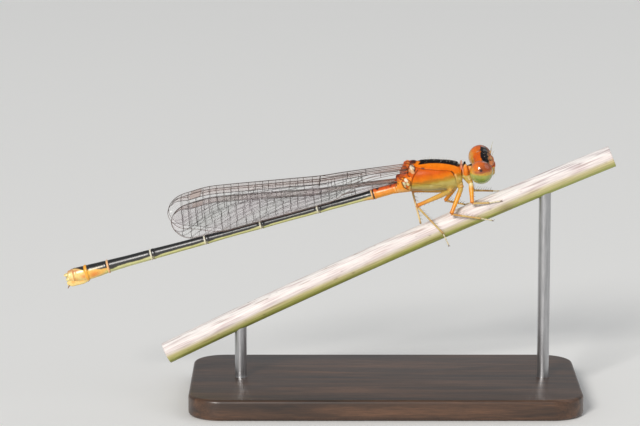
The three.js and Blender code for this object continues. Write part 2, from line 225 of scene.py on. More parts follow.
# ---------------------------------------------------------------- materials
def material(name, rough=0.4, coat=0.0, fine=9000.0, depth=0.000004, vary=0.12, metal=0.0, alpha=1.0,
             spec=0.5, sheen=0.0, sub=0.0, rough_vary=0.08, coat_rough=0.1, coat_ior=1.5, colour=None, use_tint=True):
    """A cuticle-like material: its colour from the markings, broken up by fine noise, with a fine grain in relief."""
    m = bpy.data.materials.new(name)
    m.use_nodes = True
    nt = m.node_tree
    nt.nodes.clear()
    N, L = nt.nodes, nt.links
    out = N.new("ShaderNodeOutputMaterial")
    b = N.new("ShaderNodeBsdfPrincipled")
    L.new(b.outputs[0], out.inputs[0])
    b.inputs["Metallic"].default_value = metal
    b.inputs["Alpha"].default_value = alpha
    b.inputs["Specular IOR Level"].default_value = spec
    b.inputs["Coat Weight"].default_value = coat
    b.inputs["Coat Roughness"].default_value = coat_rough
    b.inputs["Coat IOR"].default_value = coat_ior
    b.inputs["Sheen Weight"].default_value = sheen
    b.inputs["Subsurface Weight"].default_value = sub
    b.inputs["Subsurface Scale"].default_value = 0.00025
    b.inputs["Subsurface Radius"].default_value = (1.0, 0.5, 0.25)
    co = N.new("ShaderNodeTexCoord")
    if use_tint:
        src = N.new("ShaderNodeAttribute")
        src.attribute_name = "tint"
        colour_out = src.outputs["Color"]
    else:
        src = N.new("ShaderNodeRGB")
        src.outputs[0].default_value = (*colour, 1)
        colour_out = src.outputs[0]
    n1 = N.new("ShaderNodeTexNoise")
    n1.inputs["Scale"].default_value = fine / 6
    n1.inputs["Detail"].default_value = 6
    n1.inputs["Roughness"].default_value = 0.65
    L.new(co.outputs["Object"], n1.inputs["Vector"])
    n2 = N.new("ShaderNodeTexNoise")
    n2.inputs["Scale"].default_value = fine
    n2.inputs["Detail"].default_value = 4
    L.new(co.outputs["Object"], n2.inputs["Vector"])
    # colour: a little lighter and darker over the surface
    r = N.new("ShaderNodeMapRange")
    r.inputs["From Min"].default_value = 0.3
    r.inputs["From Max"].default_value = 0.7
    r.inputs["To Min"].default_value = 1 - vary
    r.inputs["To Max"].default_value = 1 + vary
    L.new(n1.outputs["Fac"], r.inputs["Value"])
    hsv = N.new("ShaderNodeHueSaturation")
    L.new(colour_out, hsv.inputs["Color"])
    L.new(r.outputs[0], hsv.inputs["Value"])
    L.new(hsv.outputs[0], b.inputs["Base Color"])
    # roughness
    rr = N.new("ShaderNodeMapRange")
    rr.inputs["From Min"].default_value = 0.3
    rr.inputs["From Max"].default_value = 0.7
    rr.inputs["To Min"].default_value = max(0.02, rough - rough_vary)
    rr.inputs["To Max"].default_value = min(1, rough + rough_vary)
    L.new(n2.outputs["Fac"], rr.inputs["Value"])
    L.new(rr.outputs[0], b.inputs["Roughness"])
    # grain in relief
    bp = N.new("ShaderNodeBump")
    bp.inputs["Distance"].default_value = depth
    bp.inputs["Strength"].default_value = 0.6
    L.new(n2.outputs["Fac"], bp.inputs["Height"])
    L.new(bp.outputs[0], b.inputs["Normal"])
    return m


MAT_SKIN = material("cuticle", rough=0.46, coat=0.06, coat_rough=0.25, fine=15000, depth=0.000007, vary=0.14, sub=0.07, spec=0.12)
MAT_TAIL = material("cuticle_tail", rough=0.34, coat=1.0, coat_rough=0.32, coat_ior=1.75, fine=16000, depth=0.0000015, vary=0.11, sub=0.02, spec=0.06)
MAT_EYE = material("eye_cornea", rough=0.2, coat=1.0, coat_rough=0.06, fine=12000, depth=0.0000015, vary=0.12, sub=0.06)
MAT_OCELLUS = material("ocellus", rough=0.12, coat=1.0, coat_rough=0.05, fine=9000, depth=0.000001, vary=0.06)
MAT_LEG = material("leg_cuticle", rough=0.38, coat=0.2, coat_rough=0.25, fine=15000, depth=0.000004, vary=0.12, sub=0.15)
MAT_SPINE = material("spines", rough=0.45, fine=20000, depth=0.000001, vary=0.15, sub=0.05)
MAT_HAIR = material("setae", rough=0.4, fine=20000, depth=0.000001, vary=0.1, sub=0.1)
MAT_VEIN = material("wing_veins", rough=0.42, fine=12000, depth=0.000001, vary=0.2)
MAT_STIGMA = material("wing_stigma", rough=0.4, fine=7000, depth=0.000001, vary=0.3, alpha=0.6)
MAT_FILM = material("wing_film", rough=0.20, fine=2500, depth=0.0000025, vary=0.12, alpha=0.065, spec=0.9)
MAT_STRIP = material("wing_costal_film", rough=0.3, fine=4000, depth=0.000003, vary=0.14, alpha=0.16, spec=0.8)


# ---------------------------------------------------------------- the stem's path
class Stem:
    a = np.array([STEM_FROM[0], 0, STEM_FROM[1]])
    c = np.array([STEM_TO[0], 0, STEM_TO[1]])
    b = np.array([2 * STEM_MID[0] - (STEM_FROM[0] + STEM_TO[0]) / 2, 0,
                  2 * STEM_MID[1] - (STEM_FROM[1] + STEM_TO[1]) / 2])

    @classmethod
    def at(cls, t):
        t = np.asarray(t, float)[..., None]
        return (1 - t) ** 2 * cls.a + 2 * t * (1 - t) * cls.b + t * t * cls.c

    @classmethod
    def along(cls, t):
        t = np.asarray(t, float)[..., None]
        return unit(2 * (1 - t) * (cls.b - cls.a) + 2 * t * (cls.c - cls.b))

    @classmethod
    def nearest(cls, p):
        t = (p[0] - STEM_FROM[0]) / (STEM_TO[0] - STEM_FROM[0])
        for _ in range(6):
            t += float((p - cls.at(t)) @ cls.along(t)) / 33.0
        return t

    @classmethod
    def clear(cls, p, r):
        """The point moved out until a foot of that radius just touches the stem."""
        p = np.asarray(p, float)
        t = cls.nearest(p)
        c = cls.at(t)
        out = p - c
        need = STEM_R + r
        if np.linalg.norm(out) < need:
            return c + unit(out) * need
        return p


# ---------------------------------------------------------------- body: head, neck, thorax as one field
def on_head(p):
    p = np.asarray(p, float)
    c, s = math.cos(ROLL), math.sin(ROLL)
    return np.stack([HEAD_AT[0] + p[..., 0], HEAD_AT[1] + p[..., 1] * c - p[..., 2] * s,
                     HEAD_AT[2] + p[..., 1] * s + p[..., 2] * c], -1)


def turn_head(p):
    p = np.asarray(p, float)
    c, s = math.cos(ROLL), math.sin(ROLL)
    return np.stack([p[..., 0], p[..., 1] * c - p[..., 2] * s, p[..., 1] * s + p[..., 2] * c], -1)


def head_local(x, y, z):
    c, s = math.cos(ROLL), math.sin(ROLL)
    dy, dz = y - HEAD_AT[1], z - HEAD_AT[2]
    return x - HEAD_AT[0], dy * c + dz * s, -dy * s + dz * c


def egg(centre, radii):
    """Distance to an ellipsoid, near enough."""
    (cx, cy, cz), (rx, ry, rz) = centre, radii

    def f(x, y, z):
        px, py, pz = x - cx, y - cy, z - cz
        k0 = np.sqrt((px / rx) ** 2 + (py / ry) ** 2 + (pz / rz) ** 2)
        k1 = np.sqrt((px / rx ** 2) ** 2 + (py / ry ** 2) ** 2 + (pz / rz ** 2) ** 2)
        return k0 * (k0 - 1) / np.maximum(k1, 1e-6)

    return f, np.array(centre) - radii, np.array(centre) + radii


def rod(a, b, ra, rb):
    a, b = np.array(a, float), np.array(b, float)
    d = b - a
    dd = float(d @ d)

    def f(x, y, z):
        t = np.clip(((x - a[0]) * d[0] + (y - a[1]) * d[1] + (z - a[2]) * d[2]) / dd, 0, 1)
        q = (x - a[0] - t * d[0]) ** 2 + (y - a[1] - t * d[1]) ** 2 + (z - a[2] - t * d[2]) ** 2
        return np.sqrt(q) - (ra + (rb - ra) * t)

    r = max(ra, rb)
    return f, np.minimum(a, b) - r, np.maximum(a, b) + r


def head_egg(centre, radii, power=2.0):
    """An egg or a rounder-cornered block in the rolled head's own axes."""
    (cx, cy, cz), (rx, ry, rz) = centre, radii

    def f(x, y, z):
        lx, ly, lz = head_local(x, y, z)
        px, py, pz = lx - cx, ly - cy, lz - cz
        if power == 2.0:
            k0 = np.sqrt((px / rx) ** 2 + (py / ry) ** 2 + (pz / rz) ** 2)
            k1 = np.sqrt((px / rx ** 2) ** 2 + (py / ry ** 2) ** 2 + (pz / rz ** 2) ** 2)
            return k0 * (k0 - 1) / np.maximum(k1, 1e-6)
        k0 = (np.abs(px / rx) ** power + np.abs(py / ry) ** power + np.abs(pz / rz) ** power) ** (1 / power)
        return (k0 - 1) * min(radii)

    world = on_head(centre)
    r = max(radii) * 1.05
    return f, world - r, world + r


THORAX = [
    [3.9, 14.88, 13.98, 0.40],
    [4.25, 15.42, 13.98, 0.60],
    [4.55, 15.78, 14.0, 0.74],
    [4.95, 16.02, 14.06, 0.86],
    [5.45, 16.13, 14.08, 0.97],
    [6.15, 16.19, 14.1, 1.02],
    [6.85, 16.17, 14.16, 1.01],
    [7.5, 16.12, 14.2, 0.93],
    [7.9, 15.98, 14.3, 0.82],
    [8.14, 15.76, 14.6, 0.66],
]


def thorax_field(x, y, z):
    xs = np.asarray(x, float)
    top, low, w = (curve(THORAX, xs, k) for k in (1, 2, 3))
    mid, h = (top + low) / 2, (top - low) / 2
    u = (z - mid) / h
    keel = 1 - 0.24 * np.clip(u, 0, 1.2) ** 2
    q = np.sqrt((np.abs(y) / (w * keel)) ** 2.25 + np.abs(u) ** 2.25 + 1e-9) ** (2 / 2.25)
    d = (q - 1) * np.minimum(w, h) * 0.9
    ends = np.maximum(THORAX[0][0] - xs, xs - THORAX[-1][0])
    return np.maximum(d, ends + 0 * d)


PARTS = []  # (group, field, low corner, high corner, softness of its join)


def part(group, prim, k=0.06):
    PARTS.append((group, prim[0], np.asarray(prim[1], float), np.asarray(prim[2], float), k))


part("thorax", (thorax_field, [3.85, -1.1, 13.9], [8.2, 1.1, 16.25]), 0.03)
# keel along the back, and the two sloping shoulders in front of the wings
part("thorax", rod([5.5, 0, 16.07], [7.85, 0, 15.98], 0.10, 0.08), 0.05)
part("thorax", egg((7.66, 0, 15.60), (0.40, 0.46, 0.29)), 0.12)
# plates about the wing roots and the back between them
for side in (-1, 1):
    part("wingbase", egg((4.86, side * 0.60, 15.55), (0.23, 0.22, 0.27)), 0.08)
    part("wingbase", egg((4.62, side * 0.42, 15.86), (0.30, 0.20, 0.20)), 0.04)
    part("wingbase", egg((4.33, side * 0.36, 15.32), (0.26, 0.24, 0.26)), 0.08)
    part("wingbase", egg((4.42, side * 0.52, 14.72), (0.24, 0.22, 0.24)), 0.08)
    part("wingbase", egg((4.08, side * 0.34, 14.95), (0.22, 0.18, 0.22)), 0.08)
    part("wingbase", rod([4.95, side * 0.55, 15.2], [4.55, side * 0.6, 14.5], 0.16, 0.14), 0.05)
part("wingbase", egg((4.95, 0, 15.98), (0.34, 0.30, 0.17)), 0.04)
part("wingbase", egg((4.42, 0, 15.58), (0.27, 0.28, 0.2)), 0.04)
part("wingbase", egg((4.04, 0, 15.0), (0.24, 0.28, 0.22)), 0.04)
# hinges that take the wings' edges
for side in (-1, 1):
    part("wingbase", rod([4.66, side * 0.61, 15.80], [4.72, side * 0.61, 15.42], 0.125, 0.125), 0.05)
    part("wingbase", rod([4.60, side * 0.61, 15.74], [4.30, side * 0.605, 15.69], 0.085, 0.045), 0.05)
    part("wingbase", rod([4.64, side * 0.61, 15.48], [4.40, side * 0.605, 15.44], 0.070, 0.035), 0.05)
    part("wingbase", rod([4.12, side * 0.20, 14.92], [4.16, side * 0.20, 14.56], 0.12, 0.11), 0.05)
    part("wingbase", rod([4.05, side * 0.17, 14.84], [3.74, side * 0.165, 14.80], 0.075, 0.04), 0.05)
    part("wingbase", rod([4.05, side * 0.17, 14.60], [3.80, side * 0.165, 14.57], 0.06, 0.035), 0.05)
# first ring of the abdomen, to blend into the thorax
part("abdomen", rod([4.45, 0, 14.42], [3.72, 0, 14.22], 0.40, 0.33), 0.07)
# front of the body
part("pro", egg((8.46, 0, 15.42), (0.30, 0.60, 0.60)), 0.03)
part("pro", egg((8.74, 0, 15.62), (0.15, 0.42, 0.42)), 0.03)
part("pro", egg((8.15, 0, 15.80), (0.09, 0.50, 0.35)), 0.02)
part("pro", egg((8.42, 0.0, 15.9), (0.16, 0.2, 0.16)), 0.03)
part("neck", rod([8.6, 0, 15.52], [9.25, 0, 15.74], 0.27, 0.30), 0.05)

COXA = {"fore": ([8.46, 0.30, 15.12], [8.74, 0.47, 14.74]),
        "mid": ([7.92, 0.42, 14.92], [8.06, 0.58, 14.46]),
        "hind": ([7.55, 0.40, 14.62], [7.40, 0.58, 14.20])}
for a, b in COXA.values():
    for side in (-1, 1):
        s = np.array([1, side, 1])
        part("coxa", rod(np.array(a) * s, np.array(b) * s, 0.26, 0.19), 0.05)
# side plates that swell down to the coxae
for side in (-1, 1):
    part("side", egg((7.9, side * 0.5, 14.95), (0.33, 0.34, 0.42)), 0.06)
    part("side", egg((7.4, side * 0.46, 14.55), (0.42, 0.32, 0.3)), 0.06)

# head, in its own axes: forward, left, up
part("head", head_egg((-0.02, 0, 0.02), (0.56, 1.20, 0.62)), 0.03)
part("head", head_egg((0.04, 0, 0.28), (0.46, 0.97, 0.42), 3.0), 0.09)  # top of the head, between the eyes
for side in (-1, 1):
    part("head", head_egg((-0.34, side * 0.58, 0.24), (0.24, 0.40, 0.32)), 0.10)  # behind the eyes
    part("head", head_egg((0.42, side * 0.46, -0.30), (0.36, 0.26, 0.40)), 0.03)  # cheeks and jaws
    part("head", head_egg((0.50, side * 0.30, 0.40), (0.13, 0.13, 0.12)), 0.04)  # sockets of the feelers
part("head", head_egg((0.46, 0, 0.26), (0.34, 0.60, 0.26), 2.6), 0.04)  # brow
part("head", head_egg((0.60, 0, -0.02), (0.30, 0.50, 0.19), 2.4), 0.02)  # upper clypeus
part("head", head_egg((0.64, 0, -0.27), (0.24, 0.42, 0.12)), 0.02)
part("lip", head_egg((0.60, 0, -0.50), (0.28, 0.42, 0.24), 2.2), 0.015)  # upper lip
part("lip", head_egg((0.24, 0, -0.66), (0.42, 0.34, 0.20)), 0.03)  # lower lip
part("head", head_egg((-0.05, 0, -0.40), (0.46, 0.66, 0.34)), 0.06)

VOX = 0.025
LO = np.array([3.3, -1.95, 13.6])
HI = np.array([10.75, 1.95, 17.15])


def body_field():
    axes = [np.arange(LO[k], HI[k] + VOX, VOX, dtype=np.float64) for k in range(3)]
    F = np.full([len(a) for a in axes], 0.5, np.float32)

    def window(lo, hi, pad):
        out = []
        for k in range(3):
            i0 = max(0, int((lo[k] - pad - LO[k]) / VOX))
            i1 = min(len(axes[k]), int((hi[k] + pad - LO[k]) / VOX) + 2)
            out.append(slice(i0, i1))
        return tuple(out)

    def cut_axes(w):
        return axes[0][w[0]][:, None, None], axes[1][w[1]][None, :, None], axes[2][w[2]][None, None, :]

    for group, f, lo, hi, k in PARTS:
        w = window(lo, hi, 0.12 + k)
        a = F[w]
        d = f(*cut_axes(w)).astype(np.float32)
        h = np.clip(0.5 + 0.5 * (d - a) / k, 0, 1)
        F[w] = d * (1 - h) + a * h - k * h * (1 - h)
    # the eyes' seats, the hollow back of the head
    for side in (-1, 1):
        f, lo, hi = head_egg((-EYE_BACK, side * EYE_OUT, 0), EYE_R + 0.004)
        w = window(lo, hi, 0.1)
        F[w] = np.maximum(F[w], -f(*cut_axes(w)).astype(np.float32))
    f, lo, hi = head_egg((-0.78, 0, -0.05), (0.34, 0.62, 0.46))
    w = window(lo, hi, 0.1)
    d = -f(*cut_axes(w)).astype(np.float32)
    a = F[w]
    k = 0.06
    h = np.clip(0.5 - 0.5 * (d - a) / k, 0, 1)
    F[w] = d * (1 - h) + a * h + k * h * (1 - h)
    # the neck goes back in after the hollow
    for group, f, lo, hi, k in PARTS:
        if group == "neck":
            w = window(lo, hi, 0.1)
            F[w] = np.minimum(F[w], f(*cut_axes(w)).astype(np.float32))
    return F


def field_mesh(F):
    band = 3 * VOX
    F = np.clip(F, -band, band)
    g = openvdb.FloatGrid(band)
    g.copyFromArray(F.astype(np.float32), tolerance=0.0)
    g.transform = openvdb.createLinearTransform(voxelSize=VOX)
    pts, quads = g.convertToQuads(isovalue=0.0)
    return np.asarray(pts, float) + LO, np.asarray(quads, int)


def keep_large(V, Q, least=0.02):
    """Drops stray islands: faces not joined to the largest body."""
    label = np.arange(len(V))
    while True:
        low = label[Q].min(1)
        new = label.copy()
        np.minimum.at(new, Q.ravel(), np.repeat(low, Q.shape[1]))
        new = new[new]
        if (new == label).all():
            break
        label = new
    names, counts = np.unique(label[Q[:, 0]], return_counts=True)
    big = names[counts.argmax()]
    Q = Q[label[Q[:, 0]] == big]
    used = np.unique(Q)
    back = np.zeros(len(V), int)
    back[used] = np.arange(len(used))
    return V[used], back[Q]


def normals(V, Q):
    n = np.cross(V[Q[:, 2]] - V[Q[:, 0]], V[Q[:, 3]] - V[Q[:, 1]])
    out = np.zeros_like(V)
    for k in range(4):
        for c in range(3):
            out[:, c] += np.bincount(Q[:, k], n[:, c], len(V))
    return unit(out)


def relax(V, Q, times=2, amount=0.5):
    e = np.concatenate([Q[:, [0, 1]], Q[:, [1, 2]], Q[:, [2, 3]], Q[:, [3, 0]]])
    e = np.unique(np.sort(e, 1), axis=0)
    deg = np.bincount(e.ravel(), minlength=len(V))[:, None]
    for i in range(times):
        for a in (amount, -amount * 1.04):
            s = np.zeros_like(V)
            for c in range(3):
                s[:, c] = np.bincount(e[:, 0], V[e[:, 1], c], len(V)) + np.bincount(e[:, 1], V[e[:, 0], c], len(V))
            V = V + a * (s / np.maximum(deg, 1) - V)
    return V


V, Q = field_mesh(body_field())
vol = np.einsum("ij,ij->i", V[Q[:, 0]], np.cross(V[Q[:, 1]], V[Q[:, 2]])).sum()
if vol < 0:
    Q = Q[:, ::-1]
V, Q = keep_large(V, Q)
V = relax(V, Q, 2)
NV = normals(V, Q)


def group_distance(name, P):
    best = np.full(len(P), 9.0)
    for group, f, lo, hi, k in PARTS:
        if group == name:
            best = np.minimum(best, f(P[:, 0], P[:, 1], P[:, 2]))
    return best


DIST = {g: group_distance(g, V) for g in ("thorax", "wingbase", "abdomen", "pro", "neck", "coxa", "side", "head", "lip")}


def px(x, y, depth=-0.9):
    """A place seen in the side view, as X and Z, for a point that far from the middle plane."""
    return (x - 338.5) / 15, ((398.7 - y) / 15 - depth * 0.1736) / 0.9848


def flow(points, each=7):
    """The same line, rounded through its points."""
    p = np.array([points[0]] + list(points) + [points[-1]], float)
    out = []
    for i in range(1, len(p) - 2):
        for t in np.linspace(0, 1, each, endpoint=False):
            out.append(0.5 * (2 * p[i] + (p[i + 1] - p[i - 1]) * t + (2 * p[i - 1] - 5 * p[i] + 4 * p[i + 1] - p[i + 2]) * t ** 2
                              + (3 * p[i] - p[i - 1] - 3 * p[i + 1] + p[i + 2]) * t ** 3))
    out.append(p[-2])
    return [(float(a), float(b)) for a, b in out]


def line_distance(P, points):
    """Distance in the side view to a line through the points, and how far along it the nearest place is."""
    best = np.full(len(P), 9.0)
    for (x0, z0), (x1, z1) in zip(points[:-1], points[1:]):
        d = np.array([x1 - x0, z1 - z0])
        t = np.clip(((P[:, 0] - x0) * d[0] + (P[:, 2] - z0) * d[1]) / (d @ d), 0, 1)
        best = np.minimum(best, np.hypot(P[:, 0] - x0 - t * d[0], P[:, 2] - z0 - t * d[1]))
    return best


ORANGE = rgb(228, 112, 8)
DEEP = rgb(200, 86, 2)
RED = rgb(214, 56, 10)
OLIVE = rgb(172, 146, 58)
PALE_OLIVE = rgb(188, 174, 104)
BROWN = rgb(84, 38, 16)
BLACK = rgb(8, 6, 7)
CREAM = rgb(226, 214, 190)
PINK = rgb(206, 142, 124)


def dress_body(P, n):
    """The markings, and how far each point of the cuticle moves in or out for its seams and plates."""
    x, y, z = P.T
    ay = np.abs(y)
    wav = wobble(P, 0.5, 1)
    wav2 = wobble(P, 0.18, 2)
    move = 0.0022 * wav2
    # --- thorax
    fade_at = 14.70 + (x - 5.0) * 0.20 + 0.04 * wav
    col = np.tile(DEEP, (len(P), 1))
    hum = flow([px(414, 168.0), px(421.5, 169.2), px(436, 170.4), px(447, 171.0), px(451.2, 172.4), px(453.2, 175.4), px(454.8, 179.5), px(455.6, 184)])
    hum_z = np.interp(x, [p[0] for p in hum if p[1] > 15.45], [p[1] for p in hum if p[1] > 15.45])
    col = paint(col, ORANGE, step(-0.03, 0.05, z - hum_z))
    col = paint(col, rgb(238, 136, 22), step(0.06, 0.26, z - hum_z) * step(0.98, 0.6, ay) * 0.5)
    col = paint(col, rgb(206, 84, 6), bump(z - hum_z, -0.16, 0.13) * 0.4)
    col = paint(col, rgb(228, 126, 18), step(0.50, 0.12, z - fade_at) * 0.7)
    col = paint(col, OLIVE, step(0.20, -0.24, z - fade_at))
    col = paint(col, rgb(156, 104, 34), bump(z - fade_at, -0.04, 0.10) * 0.5 * step(4.9, 5.3, x))
    col = paint(col, PALE_OLIVE, step(-0.15, -0.36, z - fade_at) * 0.75)
    col = paint(col, rgb(196, 184, 134), step(14.5, 14.25, z) * 0.6)
    col = paint(col, rgb(176, 104, 40), bump(z, 14.08, 0.07) * step(6.2, 5.0, x) * 0.8)
    rear = step(4.86, 4.62, x + 0.06 * wav)
    col = paint(col, rgb(238, 150, 52), rear * step(15.2, 14.9, z))
    col = paint(col, rgb(228, 176, 110), rear * step(14.35, 14.15, z) * 0.8)
    back = step(0.56, 0.50, ay + 0.02 * wav) * step(15.5 + 0.20 * step(7.2, 7.7, x), 15.7 + 0.14 * step(7.2, 7.7, x), z) * step(5.22, 5.34, x - 0.12 * bump(ay, 0.3, 0.12))
    col = paint(col, BLACK, back)
    ridge = bump(ay, 0, 0.05) * step(5.5, 5.8, x) * step(7.95, 7.7, x) * step(15.7, 15.9, z)
    move += 0.02 * ridge
    seams = [
        (hum, 0.020, 0.022, 0.62, BROWN),
        (flow([px(450.6, 171.8), px(452.2, 173.2), px(453.2, 175.0)]), 0.048, 0.01, 0.9, rgb(52, 20, 10)),
        (flow([px(411.6, 183.6), px(420, 184.4), px(430, 185.1), px(440, 186.3), px(447, 188.6)]), 0.020, 0.020, 0.38, BROWN),
        (flow([px(417.2, 170.4), px(415.2, 173), px(412.9, 177), px(411.4, 182), px(410.9, 190)]), 0.026, 0.030, 0.9, rgb(66, 28, 12)),
    ]
    flank = step(0.32, 0.5, ay)
    for pts, wide, deep, dark, c in seams:
        d = line_distance(P, pts)
        col = paint(col, c, bump(d, 0, wide) * dark * flank)
        move -= deep * bump(d, 0, wide * 1.3) * flank
    d = line_distance(P, flow([px(454.4, 175.0), px(456.2, 179), px(457.6, 185)]))
    col = paint(col, rgb(226, 190, 120), bump(d, 0, 0.055) * 0.65 * flank)
    d = line_distance(P, [px(421.3, 168.9), px(423, 169.0)])
    col = paint(col, rgb(70, 30, 14), bump(d, 0, 0.06) * 0.85 * flank)
    d = line_distance(P, [px(411, 190.5), px(421, 191.3)])
    col = paint(col, rgb(150, 70, 35), bump(d, 0, 0.07) * 0.6 * flank)
    # spiracle rim low on the side
    cx, cz = px(430.5, 186.5)
    rr = np.hypot(x - cx, z - cz)
    col = paint(col, rgb(214, 204, 150), bump(rr, 0, 0.10) * 0.4 * flank)
    # low side plates and coxae
    near_side = step(0.05, -0.02, np.minimum(DIST["side"], DIST["coxa"]) - np.minimum(DIST["thorax"], DIST["pro"]))
    low_side = near_side * step(15.35, 15.1, z)
    col = paint(col, paint(np.tile(rgb(182, 152, 74), (len(P), 1)), rgb(204, 182, 118), step(0, 1, wav)), low_side * 0.9)
    cox = step(0.03, -0.02, DIST["coxa"]) * step(14.95, 14.75, z)
    col = paint(col, rgb(200, 152, 62), cox)
    for a, b in COXA.values():
        m = np.hypot(x - b[0], z - b[2])
        col = paint(col, rgb(96, 52, 22), bump(m, 0.2, 0.025) * cox * 0.5)
        move -= 0.012 * bump(m, 0.2, 0.03) * cox
    # --- wing roots
    wb = step(0.02, -0.03, DIST["wingbase"] - DIST["thorax"]) * step(5.35, 5.2, x)
    wing_col = np.tile(rgb(198, 92, 34), (len(P), 1))
    wing_col = paint(wing_col, rgb(150, 62, 42), step(0.42, 0.15, ay))
    wing_col = paint(wing_col, rgb(104, 42, 30), step(0.3, 1.1, wav + 0.6 * wav2) * 0.75)
    wing_col = paint(wing_col, rgb(226, 146, 74), step(0.6, 1.3, -wav - 0.5 * wav2) * 0.6)
    col = paint(col, wing_col, wb)
    spots = [
        (px(411.5, 168.0, -0.75), 0.20, CREAM, 0.95), (px(411.8, 171.8, -0.75), 0.17, rgb(222, 178, 130), 0.9),
        (px(409.0, 170.5, -0.7), 0.12, rgb(210, 160, 112), 0.8),
        (px(405.6, 180.4, -0.65), 0.15, CREAM, 0.95), (px(403.6, 183.6, -0.6), 0.14, rgb(206, 206, 164), 0.9),
        (px(407.4, 184.2, -0.7), 0.13, rgb(214, 204, 150), 0.85), (px(404.6, 186.6, -0.6), 0.10, rgb(196, 190, 140), 0.8),
        (px(407.5, 163.5, -0.5), 0.16, rgb(226, 126, 52), 0.8), (px(402.5, 172.0, -0.45), 0.28, rgb(164, 84, 64), 0.8),
        (px(409.5, 178.2, -0.7), 0.13, rgb(236, 132, 46), 0.9),
    ]
    for (sx, sz), r, c, k in spots:
        d = np.hypot((x - sx) * 1.1 + (z - sz) * 0.3, z - sz) + 0.008 * wav2
        side_on = step(0.2, 0.34, ay) * step(5.35, 5.15, x)
        if r < 0.21 and c[0] > 0.4 and c[2] > 0.2:
            col = paint(col, rgb(70, 32, 22), bump(d, r * 1.06, 0.028) * step(-0.2, 0.3, wav) * 0.7 * side_on)
        patch = paint(np.tile(c, (len(P), 1)), c * [0.80, 0.62, 0.48], step(0.1, 1.0, wav2) * 0.55)
        col = paint(col, patch, step(r, r * 0.74, d) * k * side_on)
        move += 0.018 * step(r, r * 0.5, d) * side_on
    dark_lines = [
        [px(414.5, 169.0, -0.75), px(414.2, 172.0, -0.75)], [px(408.0, 167.0, -0.7), px(407.2, 175.0, -0.7), px(409.0, 176.5, -0.7)],
        [px(406.2, 163.8, -0.5), px(409.5, 164.3, -0.5)], [px(401.2, 182.5, -0.6), px(403.8, 187.5, -0.6), px(408.0, 190.0, -0.6)],
        [px(397.0, 176.8, -0.45), px(404.0, 177.4, -0.45)], [px(399.0, 178.5, -0.4), px(402.4, 180.0, -0.5)],
        [px(404.5, 166.5, -0.6), px(407.5, 169.5, -0.65)], [px(403.5, 173.6, -0.6), px(407.4, 173.0, -0.65)],
        [px(409.6, 162.2, -0.3), px(411.4, 165.6, -0.5), px(414.4, 167.6, -0.7)], [px(393.8, 183.0, -0.4), px(398.0, 184.2, -0.5)],
        [px(407.0, 179.4, -0.7), px(409.8, 182.0, -0.75), px(410.0, 186.0, -0.75)],
    ]
    for pts in dark_lines:
        d = line_distance(P, flow(pts)) + 0.012 * wav2
        m = bump(d, 0, 0.038) * step(0.15, 0.3, ay) * step(5.3, 5.1, x)
        col = paint(col, rgb(62, 30, 22), m * 0.85)
        move -= 0.02 * m
    cx, cz = px(413.2, 162.4, -0.4)
    col = paint(col, rgb(52, 24, 18), step(0.15, 0.09, np.hypot((x - cx) * 0.7, z - cz)) * 0.9 * step(0.7, 0.5, ay))
    # --- root of the abdomen
    ab = step(0.02, -0.04, DIST["abdomen"] - np.minimum(DIST["thorax"], DIST["wingbase"])) * step(4.3, 4.1, x)
    root = np.tile(rgb(236, 150, 48), (len(P), 1))
    root = paint(root, rgb(206, 84, 30), step(14.42, 14.62, z))
    col = paint(col, root, ab)
    # --- prothorax
    pro = step(0.015, -0.02, DIST["pro"] - np.minimum(np.minimum(DIST["thorax"], DIST["side"]), DIST["coxa"])) * step(8.0, 8.06, x)
    pc = np.tile(rgb(228, 128, 40), (len(P), 1))
    ring = np.hypot((x - 8.50) / 0.25, (z - 15.42) / 0.50)
    pc = paint(pc, rgb(238, 172, 96), step(0.78, 0.98, ring))
    pc = paint(pc, rgb(212, 92, 24), bump(ring, 0.55, 0.16) * 0.5 * step(15.5, 15.2, z))
    pc = paint(pc, BLACK, step(15.74, 15.82, z) * step(0.36, 0.28, ay) * step(8.22, 8.28, x))
    pc = paint(pc, rgb(206, 96, 66), step(15.80, 15.88, z) * step(0.22, 0.28, ay) * step(0.5, 0.42, ay) * step(8.56, 8.62, x))
    lobe = step(8.30, 8.22, x) * step(15.3, 15.45, z)
    pc = paint(pc, rgb(226, 168, 142), lobe)
    pc = paint(pc, rgb(96, 52, 44), lobe * step(0.2, 0.9, wav2) * 0.5)
    pc = paint(pc, rgb(224, 132, 92), lobe * bump(z, 15.75, 0.12) * 0.6)
    pc = paint(pc, rgb(206, 186, 130), step(15.05, 14.9, z))
    col = paint(col, pc, pro)
    d = np.abs(x - 8.28)
    move -= 0.03 * bump(d, 0, 0.03) * pro
    col = paint(col, rgb(70, 34, 20), bump(d, 0, 0.025) * pro * step(15.3, 15.6, z) * 0.6)
    move += 0.012 * bump(ring, 0.9, 0.12) * pro * step(0.2, 0.4, ay)
    # --- neck
    nk = step(0.01, -0.02, DIST["neck"] - np.minimum(DIST["head"], DIST["pro"]))
    col = paint(col, paint(np.tile(rgb(214, 150, 84), (len(P), 1)), rgb(120, 70, 40), bump(np.mod(x, 0.11), 0.055, 0.02) * 0.5), nk)
